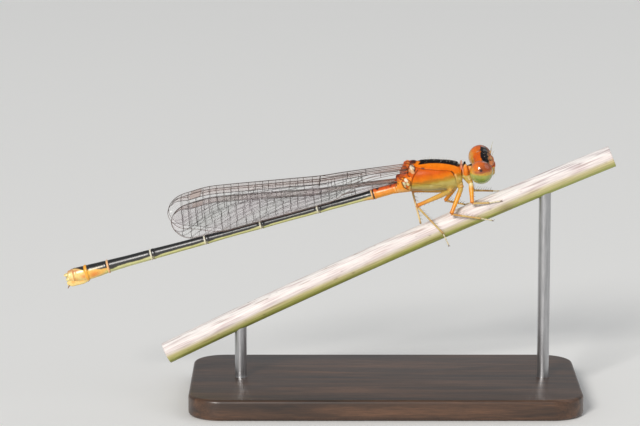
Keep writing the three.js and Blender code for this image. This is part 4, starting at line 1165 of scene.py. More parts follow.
for name, (hip, troch, knee, ankle, toe) in LEGS.items():
    hip, troch, knee = (np.array(p, float) for p in (hip, troch, knee))
    ankle = Stem.clear(ankle, 0.085)
    toe = Stem.clear(toe, 0.05)
    pair = name.split("_")[0]
    side = 1 if name.endswith("left") else -1
    out = np.array([0, side, 0.0])
    bag = Bag()
    # coxa's end and trochanter
    t = np.linspace(0, 1, 18)
    p = smooth_limb(hip, troch + unit(troch - hip) * 0.02, 0, 18)
    prof = 0.20 - 0.045 * t + 0.012 * bump(t, 0.55, 0.1) - 0.03 * bump(t, 0.74, 0.05)
    v, f = tube(p, prof, 16)
    tt = np.append(np.repeat(t, 16), [0, 1])
    c = paint(np.tile(rgb(198, 166, 96), (len(v), 1)), rgb(206, 150, 70), step(0.5, 0.9, tt))
    c = paint(c, rgb(88, 48, 22), bump(tt, 0.74, 0.04) * 0.6)
    bag.add(v, outward(v, f), c)
    # femur: widest before its middle, keeled, a little bowed
    rows = 46
    t = np.linspace(0, 1, rows)
    p = smooth_limb(troch, knee, out * 0.03, rows)
    prof = 0.158 + 0.022 * bump(t, 0.25, 0.25) - 0.020 * step(0.4, 0.9, t) + 0.014 * bump(t, 0.96, 0.05)
    prof = prof * (1 - 0.35 * bump(t, 0, 0.03)) * (1 - 0.5 * bump(t, 1.0, 0.018))
    v, f = tube(p, prof, 20, 0.92)
    tt = np.append(np.repeat(t, 20), [0, 1])
    aa = np.append(np.tile(np.arange(20) * 18.0, rows), [0, 0])
    base = rgb(234, 156, 24) if pair != "hind" else rgb(216, 164, 72)
    c = np.tile(base, (len(v), 1))
    c = paint(c, rgb(232, 220, 172), step(0.34, 0.06, tt) * (0.9 if pair == "fore" else 0.3))
    if pair != "fore":
        c = paint(c, rgb(190, 156, 60), step(0.35, 0.1, tt) * 0.75)
    c = paint(c, rgb(230, 132, 22), step(0.55, 0.92, tt) * 0.7)
    c = paint(c, rgb(132, 46, 16), bump(tt, 0.985, 0.020) * 0.8)
    c = paint(c, rgb(158, 96, 40), bump(aa, 270 if side < 0 else 90, 30) * step(0.3, 0.6, tt) * 0.35)
    bag.add(v, outward(v, f), c)
    # shin
    rows = 40
    t = np.linspace(0, 1, rows)
    p = smooth_limb(knee, ankle, out * 0.02, rows)
    prof = 0.078 + 0.030 * bump(t, 0.0, 0.05) - 0.012 * step(0.1, 0.6, t) + 0.012 * bump(t, 0.985, 0.03)
    prof = prof * (1 - 0.4 * bump(t, 0.045, 0.02))
    v, f = tube(p, prof, 14, 0.9)
    tt = np.append(np.repeat(t, 14), [0, 1])
    c = paint(np.tile(rgb(220, 196, 128), (len(v), 1)), rgb(200, 150, 84), 0.5 + 0.5 * wobble(v, 0.6, 31))
    c = paint(c, rgb(206, 120, 58), step(0.1, 0.0, tt) * 0.8)
    c = paint(c, rgb(120, 82, 56), step(0.9, 1.0, tt) * 0.5)
    bag.add(v, outward(v, f), c)
    # foot: three joints, then two hooked claws
    d = unit(toe - ankle)
    full = float(np.linalg.norm(toe - ankle))
    cuts = [0.0, 0.26, 0.56, 1.0]
    for i in range(3):
        p0 = ankle + d * full * cuts[i]
        p1 = ankle + d * full * cuts[i + 1]
        t = np.linspace(0, 1, 12)
        prof = (0.040 + 0.014 * step(0.2, 0.95, t)) * (1 - 0.45 * bump(t, 0, 0.08) - 0.4 * bump(t, 1, 0.05))
        v, f = tube(p0 + (p1 - p0) * t[:, None], prof, 10)
        tt = np.append(np.repeat(t, 10), [0, 1])
        c = paint(np.tile(rgb(222, 210, 176), (len(v), 1)), rgb(112, 84, 62), step(0.85, 1.0, tt) * 0.7)
        bag.add(v, outward(v, f), c)
    tstem = Stem.nearest(toe)
    inward = unit(Stem.at(tstem) - toe)
    across = unit(np.cross(d, inward))
    for s in (-1, 1):
        q = np.linspace(0, 1, 9)[:, None]
        p = toe + (d * 0.20 + across * s * 0.09) * q + inward * 0.10 * (q ** 2.2) - inward * 0.03 * np.sin(q * math.pi)
        v, f = tube(p, 0.024 * (1 - 0.85 * q[:, 0]), 6)
        bag.add(v, outward(v, f), paint(np.tile(rgb(150, 110, 70), (len(v), 1)), rgb(50, 30, 20), 0.6 * np.ones(len(v))))
    o = bag.mesh("leg_%s_limb" % name, MAT_LEG)
    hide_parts(*["leg_%s_%s" % (name, k) for k in ("hip", "femur", "tibia", "tarsus")])
    # spines in two rows down the shin, shorter ones down the femur
    down = np.array([0, 0, -1.0])
    dark, pale = rgb(58, 36, 24), rgb(206, 188, 140)
    axis = unit(ankle - knee)
    flexor = unit(np.cross(np.cross(axis, unit(troch - knee)), axis))
    wide = unit(np.cross(axis, flexor))
    long = float(np.linalg.norm(ankle - knee))
    count = 7
    for s in (-1, 1):
        for i in range(count):
            t = 0.14 + 0.8 * (i + (0.3 if s > 0 else 0)) / count
            dirn = unit(flexor * 0.8 + wide * s * 0.75 + axis * 0.62)
            root = knee + axis * long * t + dirn * 0.05
            if np.linalg.norm(root - Stem.at(Stem.nearest(root))) < STEM_R + 0.05:
                continue
            v, f = spine(root, dirn, 0.34 - 0.10 * i / count, 0.015, bend=axis * 0.12)
            keep = v[-1] - Stem.at(Stem.nearest(v[-1]))
            if np.linalg.norm(keep) < STEM_R + 0.01:
                dirn = unit(-inward * 0.6 + wide * s * 0.8 + axis * 0.5)
                v, f = spine(knee + axis * long * t + dirn * 0.05, dirn, 0.26, 0.014)
            spines.add(v, outward(v, f), paint(np.tile(dark, (len(v), 1)), pale, 0.35 * np.ones(len(v))))
    axis = unit(knee - troch)
    flexor = unit(np.cross(np.cross(axis, unit(ankle - knee)), axis))
    wide = unit(np.cross(axis, flexor))
    long = float(np.linalg.norm(knee - troch))
    for s in (-1, 1):
        for i in range(6):
            t = 0.2 + 0.76 * (i + (0.4 if s > 0 else 0)) / 6
            dirn = unit(flexor * 0.9 + wide * s * 0.5 + axis * 0.5)
            v, f = spine(troch + axis * long * t + dirn * 0.12, dirn, 0.17, 0.012)
            spines.add(v, outward(v, f), dark)
spine_obj = spines.mesh("leg_spines", MAT_SPINE)

# ---------------------------------------------------------------- wings
FORE = dict(root=(4.63, 15.82), droop=math.radians(7), edge=[
    [0.0, 0.0, 0.42], [1.6, 0.02, 0.5], [3.0, 0.04, 0.72], [4.4, 0.07, 1.32], [5.9, 0.12, 1.95], [8.0, 0.06, 2.5],
    [10.0, 0.0, 2.8], [12.0, -0.06, 2.9], [13.6, -0.05, 2.72], [15.0, 0.24, 2.28], [15.8, 0.66, 1.82], [16.25, 1.22, 1.3]])
HIND = dict(root=(4.03, 14.9), droop=math.radians(6), edge=[
    [0.0, 0.0, 0.42], [1.4, 0.02, 0.5], [2.8, 0.05, 0.8], [4.0, 0.09, 1.4], [5.4, 0.14, 2.05], [7.4, 0.08, 2.62],
    [9.4, 0.02, 2.92], [11.4, -0.03, 3.0], [12.8, 0.0, 2.84], [14.2, 0.32, 2.42], [15.0, 0.8, 2.0], [15.4, 1.34, 1.44]])

VEIN_DARK = rgb(38, 26, 20)
VEIN_MID = rgb(86, 54, 38)
VEIN_PALE = rgb(150, 118, 92)


class Wing:
    def __init__(self, spec, side, inner, tag):
        self.spec, self.side, self.inner, self.tag = spec, side, inner, tag
        self.e = np.array([-math.cos(spec["droop"]), -math.sin(spec["droop"])])
        self.n = np.array([math.sin(spec["droop"]), -math.cos(spec["droop"])])
        self.reach = spec["edge"][-1][0]
        xs = self.reach * np.sin(np.linspace(0, 1, 900) * math.pi / 2)
        lead = curve(spec["edge"], xs, 1)
        trail = curve(spec["edge"], xs, 2)
        # a round tip
        x0 = self.reach - 2.7
        u = np.clip((xs - x0) / 2.7, 0, 1)
        mid = (spec["edge"][-1][1] + spec["edge"][-1][2]) / 2
        arc = np.sqrt(np.clip(1 - u ** 2.15, 0, 1))
        mix = step(0.25, 0.8, u)
        l0, t0 = curve(spec["edge"], x0, 1), curve(spec["edge"], x0, 2)
        lead = lead * (1 - mix) + (mid - (mid - l0) * arc) * mix
        trail = trail * (1 - mix) + (mid + (t0 - mid) * arc) * mix
        cs = np.linspace(0, 3.3, 700)
        X = spec["root"][0] + xs[:, None] * self.e[0] + cs[None] * self.n[0]
        Z = spec["root"][1] + xs[:, None] * self.e[1] + cs[None] * self.n[1]
        s = (ABDOMEN_ROOT[0] - X) / math.cos(TILT)
        top = ABDOMEN_ROOT[1] + s * -math.sin(TILT) + (curve(ABDOMEN, s, 1) + 0.05) / math.cos(TILT)
        hit = (Z < top) & (s > 0)
        first = np.where(hit.any(1), cs[hit.argmax(1)], 9)
        self.xs, self.lead_t, self.trail_t = xs, lead, np.minimum(trail, first)
        self.k = self.reach / 16.25

    def lead(self, x):
        return np.interp(x, self.xs, self.lead_t)

    def trail(self, x):
        return np.interp(x, self.xs, self.trail_t)

    def radius1(self, x):
        """Where the vein under the costal strip runs."""
        gap = 0.20 + 0.14 * step(2.0, 6.0, x / self.k)
        close = step(14.7, 15.95, x / self.k)
        c = self.lead(x) + gap * (1 - 0.8 * close)
        return np.minimum(c, self.trail(x))

    def at(self, x, c):
        x, c = np.broadcast_arrays(np.asarray(x, float), np.asarray(c, float))
        g = (c - self.lead(x)) / np.maximum(self.trail(x) - self.lead(x), 0.05)
        y = self.inner + 0.04 * step(0, 3, x)
        # the membrane is pleated a little, and bows out towards its tip
        y = y + 0.018 * np.sin(g * 19.0) * step(2.5, 5.5, x) + 0.05 * np.sin(math.pi * np.clip(g, 0, 1)) * step(3, 8, x)
        y = y - 0.05 * step(0.5, 1.0, x / self.reach)
        return np.stack([self.spec["root"][0] + x * self.e[0] + c * self.n[0], self.side * y,
                         self.spec["root"][1] + x * self.e[1] + c * self.n[1]], -1)

    def vein(self, key, x):
        """Distance down the chord of a long vein at x."""
        x0, g0, x1, p = LONG[key]
        x0, x1 = x0 * self.k, x1 * self.k
        g = g0 + (1 - g0) * np.clip((x - x0) / (x1 - x0), 0, 1) ** p
        c1 = self.radius1(x)
        return c1 + (self.trail(x) - c1) * g


LONG = {  # start, share of the chord there, where it meets the rear edge, how late it bends down
    "rp1": (5.5, 0.03, 16.1, 4.0),
    "ir1": (10.4, 0.12, 15.65, 2.0),
    "rp2": (7.6, 0.10, 15.1, 1.9),
    "ir2": (6.1, 0.16, 14.1, 1.8),
    "rp3": (5.2, 0.22, 12.9, 1.7),
    "ma": (4.2, 0.36, 10.7, 1.6),
    "cu": (3.2, 0.62, 8.4, 1.4),
}
ORDER = ["rp1", "ir1", "rp2", "ir2", "rp3", "ma", "cu"]


def vein_tube(bag, w, xs, cs, r, colour, sides=5):
    p = w.at(np.asarray(xs, float), np.asarray(cs, float))
    v, f = tube(p, r, sides)
    bag.add(v, f, colour)


def build_wing(spec, side, inner, tag):
    w = Wing(spec, side, inner, tag)
    k = w.k
    rng = np.random.default_rng({"fore": 3, "hind": 5}[tag.split("_")[1]])
    veins = Bag()
    # the outer edge all round
    x = w.reach * np.sin(np.linspace(0, 1, 190) * math.pi / 2)
    glint = 0.5 + 0.5 * wobble(np.stack([x, x * 0, x * 0], 1), 2.2, 41)
    v, f = tube(w.at(x, w.lead(x)), 0.026 + 0.006 * step(1.0, 5.0, x) - 0.012 * (x / w.reach), 6)
    base = paint(np.tile(rgb(58, 38, 30), (len(x), 1)), rgb(140, 84, 50), step(2.4, 0.0, x) * 0.8)
    veins.add(v, f, np.vstack([np.repeat(base, 6, 0), base[:1], base[-1:]]))
    vein_tube(veins, w, x, w.trail(x), 0.015, VEIN_MID)
    # strong vein under the strip, and the one inside the strip as far as the notch
    notch = 5.9 * k if "fore" in tag else 5.5 * k
    x = np.linspace(0.1, 15.95 * k, 150)
    vein_tube(veins, w, x, w.radius1(x), 0.022 + 0.004 * step(1.0, 5.0, x) - 0.008 * (x / w.reach), VEIN_DARK, 6)
    x = np.linspace(0.1, notch, 50)
    vein_tube(veins, w, x, w.lead(x) + (w.radius1(x) - w.lead(x)) * (0.5 - 0.5 * step(notch - 0.8, notch, x)), 0.016, VEIN_MID)
    # the notch
    vein_tube(veins, w, np.linspace(notch, notch + 0.12, 8), w.lead(notch) + np.linspace(0, 1, 8) * (w.vein("rp1", notch + 0.1) + 0.05 - w.lead(notch)), 0.034, VEIN_DARK, 6)
    # rear vein of the narrow base
    x = np.linspace(0.1, 4.2 * k, 40)
    c = w.radius1(x) + (w.trail(x) - w.radius1(x)) * 0.55
    vein_tube(veins, w, x, c, 0.016, VEIN_MID)
    # long veins
    for key in ORDER:
        x0, g0, x1, p = LONG[key]
        x = np.linspace(x0 * k, min(x1 * k, w.reach - 0.02), 110)
        c = w.vein(key, x) + 0.012 * wobble(np.stack([x, x * 0, x * 0], 1), 0.9, hash_key(key))
        c = np.minimum(c, w.trail(x))
        r = (0.015 if key in ("rp1", "ma") else 0.0115) - 0.004 * (x - x[0]) / (x[-1] - x[0])
        # painted glints: pale stretches along each long vein stand for light caught on it
        shade = paint(np.tile(VEIN_DARK, (len(x), 1)), rgb(170, 150, 128), step(0.35, 0.9, wobble(np.stack([x, x * 0 + g0 * 9, x * 0], 1), 2.4, 51)) * 0.55)
        v, f = tube(w.at(x, c), r, 5)
        veins.add(v, f, np.vstack([np.repeat(shade, 5, 0), shade[:1], shade[-1:]]))

    def cross(x, c0, c1, r, colour, lean=0.0):
        if c1 - c0 < 0.045:
            return
        q = np.linspace(0, 1, 5)
        vein_tube(veins, w, x + lean * q * (c1 - c0), c0 + (c1 - c0) * q, r, colour, 4)

    # two cross-veins before the notch, then the regular ones after it
    for xx in (2.85 * k, 4.1 * k):
        cross(xx, float(w.lead(xx)), float(w.radius1(xx)), 0.022, VEIN_DARK)
    xx = notch + 0.55
    stig = (13.9 * k, 14.65 * k)
    while xx < 15.6 * k:
        if not (stig[0] - 0.1 < xx < stig[1] + 0.1):
            cross(xx, float(w.lead(xx)), float(w.radius1(xx)), 0.014, VEIN_DARK)
        cross(xx + 0.02, float(w.radius1(xx)), float(w.vein("rp1", xx)), 0.012, VEIN_DARK)
        xx += 0.5 + 0.05 * rng.normal()
    # ladders between neighbouring long veins
    x_all = np.arange(3.4 * k, w.reach - 0.25, 0.52)
    for i, x_mid in enumerate(x_all):
        live = [(float(w.radius1(x_mid)), "r1")]
        for key in ORDER:
            x0, g0, x1, p = LONG[key]
            if x0 * k <= x_mid <= x1 * k:
                live.append((float(w.vein(key, x_mid)), key))
        live.append((float(w.trail(x_mid)), "edge"))
        live.sort()
        for (c0, a), (c1, b) in zip(live[:-1], live[1:]):
            if a == "r1" and b == "rp1":
                continue
            gap = c1 - c0
            if gap > 0.85:  # a wide gap near the rear edge holds two rows of cells
                n = int(gap / 0.48)
                cuts = np.linspace(c0, c1, n + 1)
                for j in range(n):
                    dx = 0.14 * (j % 2) + 0.04 * rng.normal()
                    cross(x_mid + dx, cuts[j], cuts[j + 1], 0.0065, VEIN_MID, lean=0.1)
                    if j:
                        q = np.linspace(0, 1, 4)
                        vein_tube(veins, w, x_mid + dx + 0.5 * q, cuts[j] + 0.05 * np.sin(q * 6) + 0 * q, 0.0065, VEIN_MID, 4)
            else:
                cross(x_mid + 0.05 * rng.normal(), c0, c1, 0.0085 if c0 > float(w.vein('rp1', x_mid)) + 0.3 else 0.011, VEIN_DARK, lean=0.10 * rng.normal())
    # first links of the long veins to the vein in front of them
    for key in ORDER:
        x0 = LONG[key][0] * k
        cross(x0 + 0.01, float(w.radius1(x0)), float(w.vein(key, x0)), 0.014, VEIN_DARK)
    # the arc near the base
    cross(3.15 * k, float(w.radius1(3.15 * k)), float(w.trail(3.15 * k)), 0.018, VEIN_DARK)
    cross(1.9 * k, float(w.radius1(1.9 * k)), float(w.trail(1.9 * k)), 0.014, VEIN_MID)
    vo = veins.mesh(tag + "_veins", MAT_VEIN)

    # the film, thin but closed, from just behind the strip to the rear edge; and the strip itself
    def sheet(name, top_f, low_f, cols, mat, colour, x0=0.05, x1=None, thick=0.006, rows=150):
        x1 = w.reach if x1 is None else x1
        x = x0 + (x1 - x0) * np.sin(np.linspace(0, 1, rows) * math.pi / 2) if x1 > 15 * k else np.linspace(x0, x1, rows)
        q = np.linspace(0, 1, cols)
        X = np.repeat(x[:, None], cols, 1)
        C = top_f(x)[:, None] * (1 - q) + low_f(x)[:, None] * q
        P = w.at(X, C)
        a = P + np.array([0, thick / 2, 0])
        b = P - np.array([0, thick / 2, 0])
        v = np.vstack([a.reshape(-1, 3), b.reshape(-1, 3)])
        n = rows * cols
        f = grid_faces(rows, cols)
        f += [tuple(n + i for i in reversed(face)) for face in grid_faces(rows, cols)]
        ring = [j for j in range(cols)] + [i * cols + cols - 1 for i in range(1, rows)] \
            + [(rows - 1) * cols + j for j in range(cols - 2, -1, -1)] + [i * cols for i in range(rows - 2, 0, -1)]
        for i in range(len(ring)):
            p0, p1 = ring[i], ring[(i + 1) % len(ring)]
            f.append((p1, p0, n + p0, n + p1))
        c = colour(X.ravel(), C.ravel())
        return make(name, v, outward(v, f), mat, np.vstack([c, c]))

    def film_colour(x, c):
        col = np.tile(rgb(196, 200, 196), (len(x), 1))
        col = paint(col, rgb(214, 196, 204), 0.5 + 0.5 * wobble(np.stack([x, c, x * 0], 1), 2.5, 61))
        return paint(col, rgb(196, 168, 130), step(2.5, 0.0, x) * 0.8)

    def strip_colour(x, c):
        col = np.tile(rgb(168, 140, 132), (len(x), 1))
        col = paint(col, rgb(130, 104, 96), 0.4 + 0.4 * wobble(np.stack([x, c, x * 0], 1), 1.2, 62))
        return paint(col, rgb(196, 130, 90), step(3.0, 0.0, x) * 0.8)

    film = sheet(tag + "_film", w.radius1, w.trail, 26, MAT_FILM, film_colour, x1=w.reach - 0.01)
    strip = sheet(tag + "_strip", w.lead, w.radius1, 5, MAT_STRIP, strip_colour, x1=15.9 * k)
    # the pterostigma: a filled cell near the tip, between the front edge and the vein behind it
    rows, cols = 16, 6
    X, G = np.meshgrid(np.linspace(stig[0], stig[1], rows), np.linspace(0.0, 1.0, cols), indexing="ij")
    X = X + 0.10 * (G - 0.5)
    C = w.lead(X) + (w.radius1(X) - w.lead(X)) * G
    P = w.at(X, C)
    puff = 0.026 * np.sqrt(np.clip(1 - (2 * G - 1) ** 2, 0.05, 1))
    a = P + np.stack([0 * puff, puff, 0 * puff], -1)
    b = P - np.stack([0 * puff, puff, 0 * puff], -1)
    v = np.vstack([a.reshape(-1, 3), b.reshape(-1, 3)])
    n = rows * cols
    f = grid_faces(rows, cols)
    f += [tuple(n + i for i in reversed(face)) for face in grid_faces(rows, cols)]
    ring = [j for j in range(cols)] + [i * cols + cols - 1 for i in range(1, rows)] \
        + [(rows - 1) * cols + j for j in range(cols - 2, -1, -1)] + [i * cols for i in range(rows - 2, 0, -1)]
    for i in range(len(ring)):
        p0, p1 = ring[i], ring[(i + 1) % len(ring)]
        f.append((p1, p0, n + p0, n + p1))
    edge = np.minimum(np.minimum(G, 1 - G) * 5, 1).ravel()
    c = paint(np.tile(rgb(104, 86, 80), (n, 1)), rgb(186, 170, 164), edge)
    so = make(tag + "_stigma", v, outward(v, f), MAT_STIGMA, np.vstack([c, c]))
    for o in (vo, film, strip, so):
        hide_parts(tag)


def hash_key(word):
    return sum(ord(ch) * (i + 3) for i, ch in enumerate(word)) % 97


build_wing(HIND, 1, 0.16, "wing_hind_left")
build_wing(HIND, -1, 0.16, "wing_hind_right")
build_wing(FORE, 1, 0.60, "wing_fore_left")
build_wing(FORE, -1, 0.60, "wing_fore_right")

# ---------------------------------------------------------------- fine hairs on the back, face and tail end
hair = Bag()


def scatter(mask, count, length, radius, lean, colour, P=V, n=NV, jitter=0.35, seed=1):
    r = np.random.default_rng(seed)
    pool = np.flatnonzero(mask)
    if len(pool) == 0:
        return
    for i in r.choice(pool, min(count, len(pool)), replace=False):
        d = unit(n[i] + np.asarray(lean) + jitter * r.normal(size=3))
        L = length * r.uniform(0.6, 1.25)
        v, f = spine(P[i] - n[i] * 0.01, d, L, radius, bend=-np.asarray(lean) * 0.2)
        p = P[i]
        ang = math.atan2(p[1], p[2] - 15.1) / (2 * math.pi) + 0.5
        u0, v0 = (p[0] - 3.0) / 8.0, ang
        uv = np.tile([u0, v0], (len(v), 1)) + r.uniform(-0.0015, 0.0015, (len(v), 2))
        hair.add(v, f, colour, np.clip(uv, 0, 1))


hx, hy, hz = head_local(*V.T)
on_thorax = DIST["thorax"] < 0.06
scatter(on_thorax & (np.abs(V[:, 1]) < 0.42) & (V[:, 2] > 15.85) & (V[:, 0] > 5.6) & (V[:, 0] < 8.0), 40, 0.30, 0.007, (0.05, 0, 0.8), rgb(222, 216, 204), jitter=0.14, seed=3)
scatter(on_thorax & (V[:, 2] > 15.2) & (V[:, 0] > 5.4) & (V[:, 0] < 8.1), 60, 0.12, 0.005, (0.1, 0, 0.1), rgb(226, 190, 140), seed=4)
scatter((DIST["pro"] < 0.05) & (V[:, 2] > 15.5), 46, 0.15, 0.006, (-0.1, 0, 0.2), rgb(226, 214, 190), seed=5)
scatter((DIST["head"] < 0.05) & (hz > 0.55) & (hx < 0.4) & (V[:, 0] > 9.0), 40, 0.12, 0.005, (0, 0, 0.2), rgb(150, 110, 80), seed=6)
scatter((DIST["lip"] < 0.04) & (hz < -0.55) & (V[:, 0] > 9.0), 46, 0.22, 0.007, (0.1, 0, -0.5), rgb(230, 226, 206), seed=7)
scatter((DIST["lip"] < 0.04) & (hx > 0.6), 40, 0.10, 0.006, (0.3, 0, -0.2), rgb(210, 190, 150), seed=8)
scatter((DIST["side"] < 0.05) & (V[:, 2] < 15.1), 50, 0.11, 0.005, (0, 0, -0.2), rgb(220, 208, 176), seed=9)
scatter((DIST["wingbase"] < 0.04) & (V[:, 0] < 5.3), 50, 0.10, 0.005, (-0.2, 0, 0.2), rgb(200, 180, 150), seed=10)
tr = np.random.default_rng(17)
for i in range(90):
    s = tr.uniform(21.0, 23.2)
    a = tr.uniform(0.5, 2.6) * tr.choice([-1, 1])
    hh, ww, dd = (float(curve(ABDOMEN, s, k)) for k in (1, 2, 3))
    p = on_abdomen(s, ww * math.sin(a), hh * math.cos(a) - dd)
    nrm = unit(on_abdomen(0, math.sin(a), math.cos(a)) - ROOT)
    v, f = spine(p - nrm * 0.01, unit(nrm + DOWN * 0.8 + 0.2 * tr.normal(size=3)), tr.uniform(0.06, 0.13), 0.0055)
    uv = np.tile([(s - 20) / 4 * 0.2 + 0.8, 0.5 + a / 6.4], (len(v), 1)) + tr.uniform(-0.0015, 0.0015, (len(v), 2))
    hair.add(v, f, rgb(216, 190, 140), np.clip(uv, 0, 1))
hair_obj = hair.mesh("setae", MAT_HAIR, uv=True)


# ---------------------------------------------------------------- stem
def stem_material():
    m = bpy.data.materials.new("dry_stem")
    m.use_nodes = True
    nt = m.node_tree
    nt.nodes.clear()
    N, L = nt.nodes, nt.links
    out = N.new("ShaderNodeOutputMaterial")
    b = N.new("ShaderNodeBsdfPrincipled")
    L.new(b.outputs[0], out.inputs[0])
    b.inputs["Specular IOR Level"].default_value = 0.55
    b.inputs["Coat Weight"].default_value = 0.12
    b.inputs["Coat Roughness"].default_value = 0.3
    tint = N.new("ShaderNodeAttribute")
    tint.attribute_name = "tint"
    lay = N.new("ShaderNodeAttribute")
    lay.attribute_name = "grain"
    fine = N.new("ShaderNodeTexNoise")
    fine.inputs["Scale"].default_value = 1.0
    fine.inputs["Detail"].default_value = 8
    fine.inputs["Roughness"].default_value = 0.7
    L.new(lay.outputs["Vector"], fine.inputs["Vector"])
    ramp = N.new("ShaderNodeMapRange")
    ramp.inputs["From Min"].default_value = 0.32
    ramp.inputs["From Max"].default_value = 0.68
    ramp.inputs["To Min"].default_value = 0.72
    ramp.inputs["To Max"].default_value = 1.12
    L.new(fine.outputs["Fac"], ramp.inputs["Value"])
    hsv = N.new("ShaderNodeHueSaturation")
    L.new(tint.outputs["Color"], hsv.inputs["Color"])
    L.new(ramp.outputs[0], hsv.inputs["Value"])
    L.new(hsv.outputs[0], b.inputs["Base Color"])
    rr = N.new("ShaderNodeMapRange")
    rr.inputs["To Min"].default_value = 0.36
    rr.inputs["To Max"].default_value = 0.66
    L.new(fine.outputs["Fac"], rr.inputs["Value"])
    L.new(rr.outputs[0], b.inputs["Roughness"])
    bp = N.new("ShaderNodeBump")
    bp.inputs["Distance"].default_value = 0.00002
    bp.inputs["Strength"].default_value = 0.7
    L.new(fine.outputs["Fac"], bp.inputs["Height"])
    L.new(bp.outputs[0], b.inputs["Normal"])
    return m


def build_stem():
    rows, sides = 520, 72
    t = np.linspace(0.0004, 0.9996, rows)
    P = Stem.at(t)
    T = Stem.along(t)
    side = np.array([0, 1.0, 0])
    up = np.cross(T, side)
    up = np.where(up[:, 2:3] < 0, -up, up)
    a = np.arange(sides) * 2 * math.pi / sides  # 0 is up
    TT, A = np.meshgrid(t, a, indexing="ij")
    along = TT * 33.0
    flat = np.stack([along.ravel() * 0.10, np.cos(A).ravel(), np.sin(A).ravel()], 1)
    r = STEM_R * (1 - 0.006) + 0 * A
    ribs = 0.0035 * np.sin(A * 19 + 1.2 * np.sin(along * 0.3)) + 0.0025 * np.sin(A * 31 + 2.0)
    r = r + ribs + 0.003 * wobble(flat * [1, 1, 1], 0.9, 71).reshape(A.shape)
    for pos, deep in ((3.1, 0.02), (11.2, 0.016), (24.9, 0.018)):  # shallow dents and scars
        ang = (pos * 1.7) % 6.28
        d = np.hypot((along - pos) / 0.9, np.angle(np.exp(1j * (A - ang))) / 0.25)
        r = r - deep * np.exp(-d * d)
    V = P[:, None] + r[..., None] * (np.cos(A)[..., None] * up[:, None] + np.sin(A)[..., None] * side)
    V = V.reshape(-1, 3)
    F = grid_faces(rows, sides, wrap=True)
    deg = np.degrees(np.abs(np.angle(np.exp(1j * A))))
    w1 = wobble(flat * [0.6, 1, 1], 0.5, 72).reshape(A.shape)
    w2 = wobble(np.stack([along.ravel() * 0.05, np.cos(A).ravel(), np.sin(A).ravel()], 1), 0.16, 73).reshape(A.shape)
    col = np.tile(rgb(232, 220, 216), A.shape + (1,))
    col = paint(col, rgb(248, 243, 240), step(80, 30, deg))
    col = paint(col, rgb(196, 168, 168), step(0.05, 0.8, w2) * 0.6)
    # grey-pink mottling on the upper side from below the head onward: partly stain, partly painted shade standing in
    # for the head's shadow
    right = step(8.5, 12.5, P[:, 0:1] + 0 * A)
    col = paint(col, rgb(166, 148, 154), step(-0.1, 0.7, w2 + 0.5 * w1) * step(95, 60, deg) * right * 0.55)
    col = paint(col, rgb(170, 150, 150), step(0.55, 1.1, w2 - 0.4 * w1) * step(60, 20, deg) * 0.5)
    col = paint(col, rgb(206, 194, 134), step(84, 112, deg + 8 * w1) * 0.9)
    col = paint(col, rgb(176, 182, 84), step(104, 134, deg + 10 * w1) * 0.9)
    col = paint(col, rgb(136, 146, 62), step(140, 165, deg + 10 * w1) * 0.6)
    col = paint(col, rgb(140, 104, 78), step(1.0, 1.5, w1 + w2) * 0.5)
    # specks, and a painted shadow of the insect's head on the stem
    sr = np.random.default_rng(5)
    for i in range(110):
        s0, a0 = sr.uniform(0.3, 32.7), sr.uniform(0, 6.28)
        size = sr.uniform(0.02, 0.055)
        d = np.hypot((along - s0) / (size * 2.2), np.angle(np.exp(1j * (A - a0))) * STEM_R / size)
        col = paint(col, rgb(110, 84, 62), np.exp(-d * d) * sr.uniform(0.2, 0.7))
    # painted shadow of the head: a darker patch on the stem's near side, just ahead of and below the head
    s0 = 33.0 * Stem.nearest(np.array([11.0, 0, 13.4]))
    d = np.hypot((along - s0) / 0.5, np.angle(np.exp(1j * (A - 4.2))) / 0.5)
    col = paint(col, rgb(150, 128, 96), np.exp(-d * d) * 0.5)
    # the cut ends, a rim of fibres and a softer middle, a little frayed
    n = rows * sides
    C = col.reshape(-1, 3)
    G = np.stack([along.ravel() * 0.55, np.cos(A).ravel() * 9.0, np.sin(A).ravel() * 9.0], 1)
    Vs, Cs, Gs = [V], [C], [G]
    for end, i in ((-1, 0), (1, rows - 1)):
        base = i * sides
        last = [base + k for k in range(sides)]
        for frac, back, c in ((0.97, 0.012, rgb(206, 184, 146)), (0.88, 0.0, rgb(220, 204, 168)), (0.72, -0.02, rgb(196, 172, 130)),
                              (0.66, -0.09, rgb(170, 140, 96)), (0.35, -0.13, rgb(214, 198, 158)), (0.12, -0.12, rgb(204, 182, 138))):
            ring = P[i] + T[i] * end * back * 1.0 + (r[i] * frac)[:, None] * (np.cos(a)[:, None] * up[i] + np.sin(a)[:, None] * side)
            ring = ring + T[i] * end * (0.006 * np.sin(a * 23) * (frac > 0.6))[:, None]
            new = list(range(n, n + sides))
            n += sides
            Vs.append(ring)
            Cs.append(paint(np.tile(c, (sides, 1)), rgb(150, 118, 78), 0.35 * (np.sin(a * 17 + frac * 30) > 0.3)))
            Gs.append(np.stack([np.full(sides, back * 9), np.cos(a) * 14 * frac, np.sin(a) * 14 * frac], 1))
            for k in range(sides):
                k1 = (k + 1) % sides
                F.append((last[k], last[k1], new[k1], new[k]) if end > 0 else (last[k1], last[k], new[k], new[k1]))
            last = new
        Vs.append((P[i] - T[i] * end * 0.12)[None])
        Cs.append(rgb(196, 170, 124)[None])
        Gs.append(np.zeros((1, 3)))
        for k in range(sides):
            k1 = (k + 1) % sides
            F.append((last[k], last[k1], n) if end > 0 else (last[k1], last[k], n))
        n += 1
    V, C, G = np.vstack(Vs), np.vstack(Cs), np.vstack(Gs)
    o = make("stem_skin", V, outward(V, F), stem_material(), C, replaces=("stem",))
    g = o.data.attributes.new("grain", "FLOAT_VECTOR", "POINT")
    g.data.foreach_set("vector", G.ravel())
    return o


stem_obj = build_stem()


